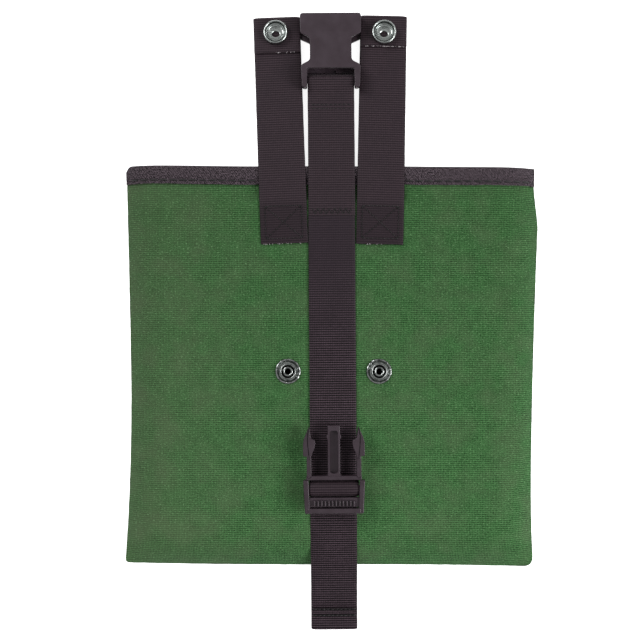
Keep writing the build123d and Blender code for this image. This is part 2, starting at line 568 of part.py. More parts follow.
# --- assembly -------------------------------------------------------------------------------------
pieces = {
    "strap_panel": strap_panel(),
    "rear_panel": rear_panel(),
    "front_mouth_binding": front_mouth_binding(),
    "rear_mouth_binding": rear_mouth_binding(),
    "side_seam_thread": side_seam_thread(),
    "front_binding_stitching": binding_stitching(
        MOUTH_TOP + TAPE + THREAD, MOUTH_TOP - CANVAS - TAPE - THREAD
    ),
    "rear_binding_stitching": binding_stitching(CANVAS + TAPE + THREAD, LOW_BEAD),
    "buckle_strap_anchor": anchor(CENTRE_X, CENTRE_LEAN, LIFT_GAP - LIFT_REACH, 0),
    "buckle_strap_bartack": bartack(),
}
for side, (x, lean, snap) in zip(("left", "right"), SNAPS):
    strap = strap_frame(x, lean, HANGER_SLOPE)
    on_bag = root_frame(x, lean) * Pos(snap, -SNAP_REACH, -WEB)
    pieces[side + "_hanger_anchor"] = anchor(x, lean, -ANCHOR_LENGTH, 0)
    pieces[side + "_hanger_stitching"] = box_stitching(x, lean)
    pieces[side + "_stud"] = on_bag * stud()
    pieces[side + "_stud_eyelet"] = on_bag * stud_eyelet()
    pieces[side + "_hanger_strap"] = strap * hanger_strap(snap)
    pieces[side + "_snap_cap"] = strap * Pos(snap, SNAP_REACH, 0) * snap_cap()
    pieces[side + "_snap_socket"] = strap * Pos(snap, SNAP_REACH, 0) * snap_socket()
    pieces[side + "_snap_spring"] = strap * Pos(snap, SNAP_REACH, 0) * snap_spring()

upper = strap_frame(CENTRE_X, CENTRE_LEAN, UPPER_SLOPE)
bar_place = (upper * Pos(0, BAR_REACH, -WEB / 2)).position
socket_place = Pos(*bar_place) * Rot(0, 0, CENTRE_LEAN) * Rot(-SOCKET_TILT, 0, 0)
plug_place = Pos(CENTRE_X, FOLD_Y, PLUG_HEIGHT) * Rot(0, 0, CENTRE_LEAN) * Pos(0, -PLUG_REACH, 0)
pieces["upper_buckle_strap"] = upper * upper_buckle_strap()
pieces["loop_stitching"] = upper * loop_stitching()
pieces["buckle_socket"] = socket_place * buckle_socket()
pieces["lower_buckle_strap"] = lower_buckle_strap()
pieces["tail_hem_stitching"] = tail_hem_stitching()
pieces["webbing_bight"] = plug_place * webbing_bight()
pieces["buckle_plug"] = plug_place * buckle_plug()
pieces["right_release_arm"] = plug_place * release_arm()
pieces["left_release_arm"] = plug_place * mirror(release_arm(), Plane.YZ)

for name, piece in pieces.items():
    export_step(piece, f"parts/{name}.step")

whole = Compound([solid for piece in pieces.values() for solid in piece.solids()]).bounding_box()
knuckle = [plug_place * Pos(s * (ARM_OUTER - ARM_WIDTH / 2), CROSSBAR[1], 0) for s in (-1, 1)]
ladder = plug_place * Pos(0, 0, -LADDER_BAR_DROP)
print("pieces", len(pieces), "box", whole.min, whole.max)
print("hanger slope and fold", round(HANGER_SLOPE, 4), round(HANGER_FOLD, 4), "axis height", FOLD_HEIGHT)
print("upper slope, fold and tilt", round(UPPER_SLOPE, 4), round(UPPER_FOLD, 4), round(SOCKET_TILT, 4))
print("socket bar", bar_place, "ladder bar", ladder.position, "plug travel", round(PLUG_TRAVEL, 4))
print("arm roots", [k.position for k in knuckle])
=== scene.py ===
# %% [markdown]
# # A hang-on sand pouch in Blender
# The pouch is a flat, empty bag of green canvas. Its mouth is bound with dark tape. Two short webbing hangers
# fold over a bar and snap onto studs, and a long centre strap closes with a side-release buckle.
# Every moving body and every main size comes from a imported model, which is loaded here as a fixed frame.
# The lesson then makes each visible piece in the same place: cloth as shaped grids, webbing as a woven ribbon
# that follows a line, metal as turned profiles, and the buckle as moulded plates that are joined and cut.

# %% Load the frame
import json
import math
import random
import bpy
import bmesh
from mathutils import Matrix, Vector, noise


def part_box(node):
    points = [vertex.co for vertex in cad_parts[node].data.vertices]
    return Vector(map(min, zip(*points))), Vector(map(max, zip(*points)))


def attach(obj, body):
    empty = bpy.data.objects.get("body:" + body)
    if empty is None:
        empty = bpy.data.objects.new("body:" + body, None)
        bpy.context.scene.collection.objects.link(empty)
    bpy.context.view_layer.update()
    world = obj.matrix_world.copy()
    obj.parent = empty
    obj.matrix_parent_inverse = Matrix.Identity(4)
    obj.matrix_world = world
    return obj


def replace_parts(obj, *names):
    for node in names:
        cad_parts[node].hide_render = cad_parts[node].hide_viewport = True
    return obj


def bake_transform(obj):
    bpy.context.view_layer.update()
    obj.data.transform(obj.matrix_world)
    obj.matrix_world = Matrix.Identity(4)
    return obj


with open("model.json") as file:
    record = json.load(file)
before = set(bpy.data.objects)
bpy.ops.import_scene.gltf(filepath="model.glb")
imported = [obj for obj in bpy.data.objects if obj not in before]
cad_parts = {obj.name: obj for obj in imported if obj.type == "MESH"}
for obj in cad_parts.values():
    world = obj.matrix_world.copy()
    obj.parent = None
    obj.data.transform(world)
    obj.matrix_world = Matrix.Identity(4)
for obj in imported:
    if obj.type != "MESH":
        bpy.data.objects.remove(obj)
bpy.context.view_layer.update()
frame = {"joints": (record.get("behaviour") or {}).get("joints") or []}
joints = {joint["name"]: joint for joint in frame["joints"]}
MM = 0.001

# %% [markdown]
# ## The camera first
# The pouch is looked at from straight above, so the camera hangs over it and looks down. A camera with no
# rotation looks along -Z with +Y upwards, which is just that. The lens follows from two real sizes: how wide
# a strip of table the picture takes in, and how high the camera is.

# %% Camera
CAMERA_HEIGHT = 0.612
STRAP_HEIGHT = 0.012        # the height at which the picture's width is measured
PICTURE_WIDTH = 0.3411
SENSOR = 36.0
camera_data = bpy.data.cameras.new("camera_overhead")
camera_data.sensor_width = SENSOR
camera_data.lens = SENSOR * (CAMERA_HEIGHT - STRAP_HEIGHT) / PICTURE_WIDTH
camera = bpy.data.objects.new("camera_overhead", camera_data)
camera.location = (-0.0067, 0.0003, CAMERA_HEIGHT)
bpy.context.scene.collection.objects.link(camera)
bpy.context.scene.camera = camera
print("lens", round(camera_data.lens, 1), "mm")

# %% [markdown]
# ## Studio
# A dark, matt thing is best lit softly from both sides, so that every edge has a soft shade and nothing
# glares. Two square panels do that here, one from the upper left and one from the right. The world is pale
# overhead and falls off to grey at the horizon, so that the round metal has something dark to mirror beside
# something bright. The Standard view transform keeps the pale table white.

# %% Lights and air
LIGHT_SIZE = 0.6
KEY_PLACE, KEY_POWER = (-0.75, 0.6, 0.8), 8.8
FILL_PLACE, FILL_POWER = (0.9, -0.15, 0.7), 11.5
HORIZON_GREY = 0.16
WHITE_FROM = 0.6            # the height on the unit sphere from which the air is white
AIR_STRENGTH = 0.5
scene = bpy.context.scene
scene.view_settings.view_transform = "Standard"


def soft_light(name, place, power):
    """A square area light that looks at the middle of the pouch."""
    data = bpy.data.lights.new(name, "AREA")
    data.size = LIGHT_SIZE
    data.energy = power
    light = bpy.data.objects.new(name, data)
    light.location = place
    light.rotation_euler = (Vector((0, 0, 0)) - Vector(place)).to_track_quat("-Z", "Y").to_euler()
    scene.collection.objects.link(light)


soft_light("light_key", KEY_PLACE, KEY_POWER)
soft_light("light_fill", FILL_PLACE, FILL_POWER)
world = bpy.data.worlds.new("studio_air")
world.use_nodes = True
air = world.node_tree
upwards = air.nodes.new("ShaderNodeSeparateXYZ")
air.links.new(air.nodes.new("ShaderNodeTexCoord").outputs["Generated"], upwards.inputs["Vector"])
ceiling = air.nodes.new("ShaderNodeValToRGB")
air.links.new(upwards.outputs["Z"], ceiling.inputs["Fac"])
ceiling.color_ramp.elements[0].color = (HORIZON_GREY, HORIZON_GREY, HORIZON_GREY, 1.0)
ceiling.color_ramp.elements[1].position = WHITE_FROM
air.links.new(ceiling.outputs["Color"], air.nodes["Background"].inputs["Color"])
air.nodes["Background"].inputs["Strength"].default_value = AIR_STRENGTH
scene.world = world
print("lights", len(bpy.data.lights))

# %% [markdown]
# ## Helpers for meshes
# A few small helpers carry the whole lesson. `new_piece` turns lists of points and faces into an object, with
# a UV map in millimetres when it gets one, so that a weave keeps its real scale wherever the cloth goes.
# `grid_faces` joins a lattice of points. `applied` bakes modifiers into the mesh. `tube_points` is a closed
# round thread along a line, and `threads` puts many of them into one object, for stitches and loose yarn.

# %% Mesh helpers
SHARP = math.radians(38)


def new_piece(name, points, faces, uv=None, material=None):
    """An object from points in metres. uv gives one (u, v) in millimetres for each point."""
    mesh = bpy.data.meshes.new(name)
    mesh.from_pydata([tuple(p) for p in points], [], faces)
    if uv:
        layer = mesh.uv_layers.new(name="UVMap")
        for loop in mesh.loops:
            layer.data[loop.index].uv = uv[loop.vertex_index]
    bm = bmesh.new()
    bm.from_mesh(mesh)
    bmesh.ops.recalc_face_normals(bm, faces=bm.faces)
    bm.to_mesh(mesh)
    bm.free()
    piece = bpy.data.objects.new(name, mesh)
    scene.collection.objects.link(piece)
    if material:
        mesh.materials.append(material)
    smoothed(piece)
    return piece


def smoothed(piece, angle=SHARP):
    piece.data.shade_smooth()
    piece.data.set_sharp_from_angle(angle=angle)


def grid_faces(rows, columns, closed=False, start=0):
    """Quads between rows of points. With closed, the last column joins the first."""
    faces = []
    for r in range(rows - 1):
        for c in range(columns if closed else columns - 1):
            d = (c + 1) % columns
            a = start + r * columns
            faces.append((a + c, a + d, a + columns + d, a + columns + c))
    return faces


def applied(piece):
    """Bakes the piece's modifiers into its mesh."""
    graph = bpy.context.evaluated_depsgraph_get()
    mesh = bpy.data.meshes.new_from_object(piece.evaluated_get(graph))
    old = piece.data
    piece.modifiers.clear()
    piece.data = mesh
    bpy.data.meshes.remove(old)
    return piece


def tube_points(line, radius, sides=6):
    """Points and faces of a closed round thread along a line."""
    points, faces = [], []
    for i, p in enumerate(line):
        ahead, behind = line[min(i + 1, len(line) - 1)], line[max(i - 1, 0)]
        along = (Vector(ahead) - Vector(behind)).normalized()
        side = along.cross(Vector((0, 0, 1)))
        side = side.normalized() if side.length > 1e-6 else Vector((1, 0, 0))
        up = side.cross(along)
        end = i in (0, len(line) - 1)
        r = radius * (0.55 if end else 1.0)
        for k in range(sides):
            a = 2 * math.pi * k / sides
            points.append(Vector(p) + side * (r * math.cos(a)) + up * (r * math.sin(a)))
    faces = grid_faces(len(line), sides, closed=True)
    faces.append(tuple(range(sides)))
    faces.append(tuple(len(points) - 1 - k for k in range(sides)))
    return points, faces


def threads(name, lines, radius, material, body):
    """Many short threads in one object, which rides on one body."""
    points, faces = [], []
    for line in lines:
        more, joined = tube_points(line, radius)
        faces += [tuple(i + len(points) for i in face) for face in joined]
        points += more
    piece = new_piece(name, points, faces, material=material)
    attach(piece, body)
    print(name, "threads", len(lines))
    return piece


# %% [markdown]
# ## Helpers for materials
# Colours are picked as sRGB hex, as a colour card gives them, and one function turns them to the linear
# values that the shader wants. `add` puts one node into a tree with its settings and its links. `rows` makes
# the threads that lie side by side in a cloth, `spots` the uneven patches, and `stacked` sums such patterns,
# each with its weight. The weights of a sum that feeds a colour ramp come to one, since a ramp ends there. A
# wave texture repeats every 2 pi / 20 units at a scale of 1, so the scale for a real thread spacing is that
# length over the spacing, with the UV map in millimetres.

# %% Material helpers
WAVE_LENGTH = 2 * math.pi / 20


def linear(hex_colour):
    channels = [int(hex_colour[i:i + 2], 16) / 255 for i in (0, 2, 4)]
    return [c / 12.92 if c <= 0.04045 else ((c + 0.055) / 1.055) ** 2.4 for c in channels] + [1.0]


def add(tree, kind, inputs=None, **settings):
    node = tree.nodes.new("ShaderNode" + kind)
    for key, value in settings.items():
        setattr(node, key, value)
    for key, value in (inputs or {}).items():
        if isinstance(value, bpy.types.NodeSocket):
            tree.links.new(value, node.inputs[key])
        else:
            node.inputs[key].default_value = value
    return node


def new_material(name, roughness, **sockets):
    """A material with a principled shader whose constant values sit on its own sockets."""
    material = bpy.data.materials.new(name)
    material.use_nodes = True
    tree = material.node_tree
    shader = tree.nodes["Principled BSDF"]
    shader.inputs["Roughness"].default_value = roughness
    for key, value in sockets.items():
        shader.inputs[key.replace("_", " ")].default_value = value
    return material, tree, shader


def ramp(tree, value, low, high, colours=("000000", "ffffff")):
    """A colour ramp between two positions."""
    node = add(tree, "ValToRGB", {"Fac": value})
    for element, position, colour in zip(node.color_ramp.elements, (low, high), colours):
        element.position = position
        element.color = linear(colour)
    return node.outputs["Color"]


def mixed(tree, share, a, b):
    """Colour a with that share of colour b over it."""
    node = add(tree, "Mix", {"Factor": share}, data_type="RGBA")
    for socket, value in ((node.inputs[6], a), (node.inputs[7], b)):
        if isinstance(value, bpy.types.NodeSocket):
            tree.links.new(value, socket)
        else:
            socket.default_value = value
    return node.outputs[2]


def rows(tree, place, direction, pitch, wobble):
    """Threads that lie side by side at a real spacing in millimetres, a little uneven."""
    return add(tree, "TexWave", {
        "Vector": place, "Scale": WAVE_LENGTH / pitch, "Distortion": wobble, "Detail": 2.0,
        "Detail Scale": 1.6,
    }, wave_type="BANDS", bands_direction=direction).outputs["Fac"]


def spots(tree, place, size, detail=3.0, stretch=(1.0, 1.0, 1.0)):
    """Noise whose blotches are about `size` millimetres, stretched along an axis."""
    scaled = add(tree, "Mapping", {"Vector": place, "Scale": stretch}).outputs["Vector"]
    return add(tree, "TexNoise", {"Vector": scaled, "Scale": 1 / size, "Detail": detail}).outputs["Fac"]


def stacked(tree, *layers):
    """The sum of several patterns, each with its weight."""
    total = 0.0
    for pattern, weight in layers:
        total = add(tree, "Math", {0: pattern, 1: weight, 2: total}, operation="MULTIPLY_ADD").outputs[0]
    return total


def bump(tree, shader, height, depth, strength):
    node = add(tree, "Bump", {"Height": height, "Distance": depth * MM, "Strength": strength})
    tree.links.new(node.outputs["Normal"], shader.inputs["Normal"])


# %% [markdown]
# ## Cotton canvas, plain woven and dyed
# Heavy canvas has thick weft threads that show as fine rows across the bag, with thinner warp threads over
# them. Dye sits unevenly on it: slubs are lighter, and broad cloudy patches drift between a fresh and a
# greyer green. The left side is faded, and a painted shade darkens the cloth a little towards the mouth. So
# the colour is a weave, then clouds, then the fading, then the painted shade, then flecks, and the same weave
# drives the bump. Cotton is rough, with a faint sheen from its fuzz.

# %% Canvas material
WEFT_PITCH = 1.09
WARP_PITCH = 0.86


def canvas_material(name, fresh, deep, faded, light):
    material, tree, shader = new_material(
        name, 0.93, Sheen_Weight=0.05, Sheen_Roughness=0.5, Specular_IOR_Level=0.1
    )
    cloth = add(tree, "TexCoord").outputs["UV"]
    weft = rows(tree, cloth, "Y", WEFT_PITCH, 1.5)
    warp = rows(tree, cloth, "X", WARP_PITCH, 1.2)
    broken = spots(tree, cloth, 0.75, 2.0, (0.8, 1.2, 1.0))
    patchy = spots(tree, cloth, 6.0, 3.0)
    height = stacked(tree, (weft, 0.21), (warp, 0.14), (broken, 0.46))
    shade = stacked(tree, (height, 1.0), (patchy, 0.19))
    base = ramp(tree, shade, 0.29, 0.73, (deep, fresh))
    clouds = ramp(tree, spots(tree, cloth, 17.0, 4.0), 0.42, 0.64)
    spread = add(tree, "SeparateXYZ", {"Vector": cloth})
    across, upwards = spread.outputs["X"], spread.outputs["Y"]
    edge = add(tree, "MapRange", {"Value": across, 1: -40.0, 2: -114.0, 3: 0.0, 4: 0.38}).outputs[0]
    base = mixed(tree, stacked(tree, (clouds, 0.27), (edge, 1.0)), base, linear(faded))
    # Painted shade: up to about a quarter of the deep colour is mixed in towards the mouth, darkening the cloth
    # there.
    painted_shade_to_mouth = add(tree, "MapRange", {"Value": upwards, 1: -125.0, 2: 60.0, 3: 0.0, 4: 0.26}).outputs[0]
    base = mixed(tree, painted_shade_to_mouth, base, linear(deep))
    slubs = ramp(tree, spots(tree, cloth, 0.8, 2.0, (0.7, 1.2, 1.0)), 0.58, 0.74)
    base = mixed(tree, stacked(tree, (slubs, 0.46)), base, linear(light))
    tree.links.new(base, shader.inputs["Base Color"])
    bump(tree, shader, height, 0.28, 0.8)
    return material


canvas = canvas_material("cotton_canvas_plain_woven", "4c7b49", "10280f", "525e46", "789f70")
lining = canvas_material("cotton_canvas_reverse", "487447", "112911", "485440", "6f9566")
print("materials", len(bpy.data.materials))

# %% [markdown]
# ## Webbing, binding tape and thread
# Narrow webbing is woven from synthetic yarn, with strong ribs across it. The ribs are real geometry here.
# The material paints shade into the valleys between them, and adds the yarns that run along the strap and
# the fluff of a used one. The first stretch of a strap keeps a darker colour of its own, which gives way to
# the ribbed look between two distances along the strap. Binding tape is a flat cotton twill in the same dark
# colour, a little greyer. Thread is nearly black, partly as painted shade of its stitch grooves, and cut
# yarn is pale.

# %% Webbing, tape and thread materials
RIB_PITCH = 1.26


def webbing_material(name, valley, ridge, aged, low, high, start, near, far, share):
    """Ribs go from valley to ridge. Up to `near` millimetres along, a share of the colour is `start`."""
    material, tree, shader = new_material(
        name, 0.6, Sheen_Weight=0.03, Sheen_Roughness=0.4, Specular_IOR_Level=0.14
    )
    ribbon = add(tree, "TexCoord").outputs["UV"]
    yarns = rows(tree, ribbon, "X", 0.95, 0.6)
    ribs = rows(tree, ribbon, "Y", RIB_PITCH, 0.25)
    fluff = spots(tree, ribbon, 1.0, 4.0, (0.4, 1.0, 1.0))
    height = stacked(tree, (ribs, 0.54), (yarns, 0.18), (fluff, 0.27))
    # Partly painted shade: the low places between the ribs take the dark valley colour. The yarns and fluff are
    # the webbing's own texture.
    base = ramp(tree, height, low, high, (valley, ridge))
    tint = ramp(tree, spots(tree, ribbon, 12.0, 3.0), 0.35, 0.7)
    base = mixed(tree, stacked(tree, (tint, 0.3)), base, linear(aged))
    along = add(tree, "SeparateXYZ", {"Vector": ribbon}).outputs["Y"]
    # Up to `near` millimetres from the strap's start, a share of the darker `start` colour is mixed in.
    first = add(tree, "MapRange", {"Value": along, 1: far, 2: near, 3: 0.0, 4: share}).outputs[0]
    base = mixed(tree, first, base, linear(start))
    tree.links.new(base, shader.inputs["Base Color"])
    bump(tree, shader, height, 0.12, 0.7)
    return material


def tape_material():
    material, tree, shader = new_material(
        "cotton_twill_tape", 0.85, Sheen_Weight=0.06, Sheen_Roughness=0.5, Specular_IOR_Level=0.14
    )
    ribbon = add(tree, "TexCoord").outputs["UV"]
    turned_ribbon = add(tree, "Mapping", {"Vector": ribbon, "Rotation": (0, 0, math.radians(32))}).outputs[0]
    twill = rows(tree, turned_ribbon, "X", 0.8, 0.6)
    fluff = spots(tree, ribbon, 0.8, 4.0)
    height = stacked(tree, (fluff, 0.84), (twill, 0.16))
    base = ramp(tree, height, 0.40, 0.66, ("080507", "5a4f56"))
    tree.links.new(base, shader.inputs["Base Color"])
    bump(tree, shader, height, 0.12, 0.7)
    return material


def thread_material(name, colour, worn, roughness):
    material, tree, shader = new_material(name, roughness)
    grain = spots(tree, add(tree, "TexCoord").outputs["Object"], 0.6 * MM, 2.0)
    tree.links.new(ramp(tree, grain, 0.4, 1.0, (colour, worn)), shader.inputs["Base Color"])
    return material


webbing_cloth = webbing_material("polypropylene_webbing_woven", "1a1217", "3f3339", "221b20", 0.22, 0.95,
                                 "1a1217", 19.0, 24.0, 0.45)
ribbed_cloth = webbing_material("polypropylene_webbing_ribbed", "020001", "52434c", "100b0e", 0.34, 0.88,
                                "231b21", 20.0, 80.0, 0.75)
tape_cloth = tape_material()
# Partly painted shade: the thread is nearly black, so each stitch also carries the shade of its groove.
thread = thread_material("polyester_thread_darkened_for_groove_shade", "050304", "1c1619", 0.6)
cut_yarn = thread_material("webbing_yarn_cut", "b4acb0", "4a4147", 0.7)
print("materials", len(bpy.data.materials))

# %% [markdown]
# ## Moulded acetal and nickel-plated brass
# Side-release buckles are injection-moulded acetal. It is a dense, slightly waxy plastic, so it shows soft
# highlights on its rounded edges, and its faces carry the fine spark texture of the mould. The snaps are thin
# brass cups, stamped and nickel plated: a bright metal with fine rubbed scratches and dull spots where the
# plating has worn. A metal's colour is its reflection colour, so it is pale and its metallic value is 1. The
# faces down inside a bore are painted nearly black, a painted shade for the dark of the hole.

# %% Plastic and metal materials
def acetal_material():
    material, tree, shader = new_material("acetal_moulded", 0.40, Specular_IOR_Level=0.36, IOR=1.48)
    place = add(tree, "TexCoord").outputs["Object"]
    spark = add(tree, "TexNoise", {"Vector": place, "Scale": 5200.0, "Detail": 2.0}).outputs["Fac"]
    handling = add(tree, "TexNoise", {"Vector": place, "Scale": 160.0, "Detail": 4.0}).outputs["Fac"]
    tree.links.new(ramp(tree, handling, 0.3, 0.75, ("2f252b", "372d34")), shader.inputs["Base Color"])
    rough = add(tree, "MapRange", {"Value": handling, 1: 0.3, 2: 0.7, 3: 0.34, 4: 0.44}).outputs[0]
    tree.links.new(rough, shader.inputs["Roughness"])
    bump(tree, shader, spark, 0.03, 0.35)
    return material


def nickel_material(name, bright, dull, wear):
    material, tree, shader = new_material(name, 0.25, Metallic=1.0)
    place = add(tree, "TexCoord").outputs["Object"]
    worn = add(tree, "TexNoise", {"Vector": place, "Scale": 420.0, "Detail": 5.0}).outputs["Fac"]
    rubbed = add(tree, "TexNoise", {"Vector": place, "Scale": 2600.0, "Detail": 3.0}).outputs["Fac"]
    tree.links.new(ramp(tree, worn, wear, wear + 0.22, (bright, dull)), shader.inputs["Base Color"])
    rough = add(tree, "MapRange", {"Value": worn, 1: 0.35, 2: 0.7, 3: 0.17, 4: 0.3}).outputs[0]
    tree.links.new(rough, shader.inputs["Roughness"])
    bump(tree, shader, rubbed, 0.0006, 0.1)
    return material


acetal = acetal_material()
nickel = nickel_material("brass_nickel_plated", "b2b7b5", "8f9593", 0.50)
worn_nickel = nickel_material("brass_nickel_worn", "9b9f9d", "4a4e4d", 0.46)
# Painted shade: a nearly black metal for the faces down inside each bore, where the hole is dark.
bore_painted_shade = nickel_material("metal_painted_shade_in_bore", "0f0e0d", "070606", 0.46)
print("materials", len(bpy.data.materials))

# %% [markdown]
# ## The table
# A plain pale sheet that glows a little, as a light table does, so that it stays white beside the dark straps
# and in the shade under them. It isn't part of the pouch.

# %% Table
TABLE_HALF = 9.0
TABLE_LEVEL = -0.2 * MM     # just under the pouch, so that no two faces share a plane
TABLE_GLOW = 0.85
table_paint, _, table_shader = new_material("table_sheet_white", 0.9, Specular_IOR_Level=0.1)
table_shader.inputs["Base Color"].default_value = linear("f8f8f8")
table_shader.inputs["Emission Color"].default_value = linear("ffffff")
table_shader.inputs["Emission Strength"].default_value = TABLE_GLOW
table = new_piece("table_sheet", [
    (x * TABLE_HALF, y * TABLE_HALF, TABLE_LEVEL) for x, y in ((-1, -1), (1, -1), (1, 1), (-1, 1))
], [(0, 1, 2, 3)], material=table_paint)

# %% [markdown]
# ## The bag's shape
# An empty canvas bag isn't a slab. The panel that carries the straps lies a centimetre over the rear panel,
# held up by its seams, and falls in a round shoulder to the side seams and the bottom. One function gives its
# height at any place, so that the tape, the stitches and the straps can all sit on the same cloth. The
# outline is a little out of true, as sewn things are: its sides bow by a few millimetres, and the bottom and
# the mouth drop slightly towards the right.

# %% Outline and height of the cloth
panel_low, panel_high = (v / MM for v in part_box("strap_panel"))
HALF = (panel_high.x - panel_low.x) / 2
BOTTOM, MOUTH, TOP = panel_low.y, panel_high.y, panel_high.z
SEAM = 1.3                  # height at which the two panels meet
CLOTH = 0.9                 # cloth thickness
SHOULDER = 25.0             # width of the round shoulder beside a seam
MOUTH_DROP = TOP - (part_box("front_mouth_binding")[1].z / MM - 0.45)
DROP_START, DROP_END = MOUTH - 19.5, MOUTH - 11.0


def ease(t):
    t = min(max(t, 0.0), 1.0)
    return t * t * (3 - 2 * t)


def waver(x, y, size, seed):
    """Smooth noise, from about -1 to 1, with bumps of that size in millimetres."""
    return noise.noise(Vector((x / size, y / size, seed)))


def left_side(y):
    """Bowed in by three millimetres at two fifths of its height."""
    s = (y - BOTTOM) / (MOUTH - BOTTOM)
    if s < 0.42:
        return -HALF - 0.8 - 3.0 * ((0.42 - s) / 0.42) ** 2.2
    return -HALF - 0.8 - 2.55 * ((s - 0.42) / 0.58) ** 1.25


def right_side(y):
    """Widest a little under the mouth, where the cloth springs out from the tape."""
    s = (y - BOTTOM) / (MOUTH - BOTTOM)
    if s < 0.17:
        return HALF - 0.5 + 0.9 * ((0.17 - s) / 0.17) ** 2
    return HALF - 0.5 + 3.6 * min((s - 0.17) / 0.675, 1.0) ** 1.6 - 2.1 * ease((s - 0.845) / 0.12)


def bottom_side(u):
    return BOTTOM - 3.3 - 2.1 * u - 0.4 * math.sin(2 * math.pi * u)


def mouth_corner(u):
    """The left end of the mouth is rounded off, with a radius of 3 mm."""
    inside = 1 - min(max(u, 0.0) * 2 * HALF / 3.0, 1.0)
    return 3.0 * (1 - math.sqrt(1 - inside ** 2))


def mouth_side(u):
    return MOUTH + 1.3 - 1.15 * u - 0.3 * math.exp(-((u - 0.3) / 0.12) ** 2) - mouth_corner(u)


def dome(distance):
    """Height share at that distance from a seam: a round shoulder, then flat."""
    t = min(max(distance / SHOULDER, 0.0), 1.0)
    return 1 - (1 - t) ** 2.6


def calm(x, y):
    """0 where straps, studs and tape hold the cloth, and 1 out on the open panel."""
    strap = ease((abs(x) - 42) / 22) if y > 30 else ease((abs(x) - 15) / 22)
    studs = min(ease((math.hypot(x - sx, y + 26.4) - 10) / 14) for sx in (-23.8, 24.8))
    mouth = ease((MOUTH - 12 - y) / 18)
    return min(strap, studs) * mouth


def panel_height(x, y, u, v):
    """Height of the strap panel's outer face in millimetres: shoulders, a slow swell and a few soft folds."""
    side = dome(min(x - left_side(y), right_side(y) - x))
    foot = dome(y - bottom_side(u))
    drop = MOUTH_DROP * ease((y - DROP_START) / (DROP_END - DROP_START))
    rise = TOP - drop - SEAM
    swell = 0.55 * waver(x, y, 46, 3.1) + 0.28 * waver(x, y, 19, 7.7) - 0.28
    fold = -1.4 * math.exp(-((x - 88 + 0.32 * (y - 10)) / 7.5) ** 2) * math.exp(-((y - 2) / 26) ** 2)
    tuck = 1.2 * math.exp(-((y + 29 + 0.10 * (x - 95)) / 2.6) ** 2) * math.exp(-((x - 97) / 11) ** 2)
    crease = -0.35 * math.exp(-((y + 36 + 0.03 * x) / 4.0) ** 2) * ease((abs(x) - 25) / 20)
    pucker = 0.22 * waver(x, y, 5.0, 11.3) * (1 - min(side, foot))
    return SEAM + rise * side * foot + (swell + fold + tuck + crease) * calm(x, y) * side * foot + pucker


print("bag", round(2 * HALF), "by", round(MOUTH - BOTTOM), "mm, top at", TOP)

# %% [markdown]
# ## The two panels
# Each panel is a lattice of points over the outline. The corners are rounded by drawing each square corner of
# the lattice in to a quarter circle, which keeps the quads even. The sheet then gets its thickness from a
# Solidify modifier, which is baked in. The rear panel lies on the table and turns up a little at its seams.
# Simulated cloth could give the same, but an empty canvas bag lies nearly still, and worked-out folds can be
# placed where real ones are.

# %% Panels
COLUMNS, ROWS = 150, 146
LEFT_CORNER, RIGHT_CORNER = 1.6, 4.6


def outline_point(u, v):
    y = bottom_side(u) + (mouth_side(u) - bottom_side(u)) * v
    x = left_side(y) + (right_side(y) - left_side(y)) * u
    radius, sign = (LEFT_CORNER, -1) if u < 0.5 else (RIGHT_CORNER, 1)
    across = (x - left_side(y)) if sign < 0 else (right_side(y) - x)
    a, b = radius - across, radius - (y - bottom_side(u))
    if a > 0 and b > 0:
        shrink = max(a, b) / math.hypot(a, b)
        x += sign * a * (shrink - 1)
        y -= b * (shrink - 1)
    return x, y


def crowded(i, count):
    """Places along 0 to 1 that lie closer together near both ends."""
    t = i / (count - 1)
    return t - 0.1 * math.sin(2 * math.pi * t)


def panel(name, height, flip, material):
    points, uv = [], []
    for r in range(ROWS):
        for c in range(COLUMNS):
            u, v = crowded(c, COLUMNS), crowded(r, ROWS)
            x, y = outline_point(u, v)
            points.append(Vector((x, y, height(x, y, u, v))) * MM)
            uv.append((x, y))
    piece = new_piece(name, points, grid_faces(ROWS, COLUMNS), uv, material)
    bm = bmesh.new()
    bm.from_mesh(piece.data)
    up = sum(face.normal.z for face in bm.faces) > 0
    if up != flip:
        bmesh.ops.reverse_faces(bm, faces=bm.faces)
    bm.to_mesh(piece.data)
    bm.free()
    shell = piece.modifiers.new("thickness", "SOLIDIFY")
    shell.thickness = CLOTH * MM
    shell.offset = -1.0
    applied(piece)
    smoothed(piece, math.radians(60))
    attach(piece, "bag")
    print(name, "points", len(piece.data.vertices))
    return piece


def rear_height(x, y, u, v):
    """The rear panel lies on the table and turns up a little at its seams."""
    edge = 1 - min(dome((min(x - left_side(y), right_side(y) - x, y - bottom_side(u))) * 5), 1)
    return 0.02 + 0.25 * edge + 0.03 * waver(x, y, 30, 5.0)


front_panel = panel("canvas_front_panel", panel_height, True, canvas)
rear = panel("canvas_rear_panel", rear_height, False, lining)
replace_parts(front_panel, "strap_panel")
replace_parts(rear, "rear_panel")

# %% [markdown]
# ## The seam at the edge
# The panels are sewn together inside out and then turned, so the edge is two folded cloths pressed together.
# A thin roll of cloth along the sides and the bottom closes the gap between them. It is a round tube along
# the outline, whose thickness wavers a little.

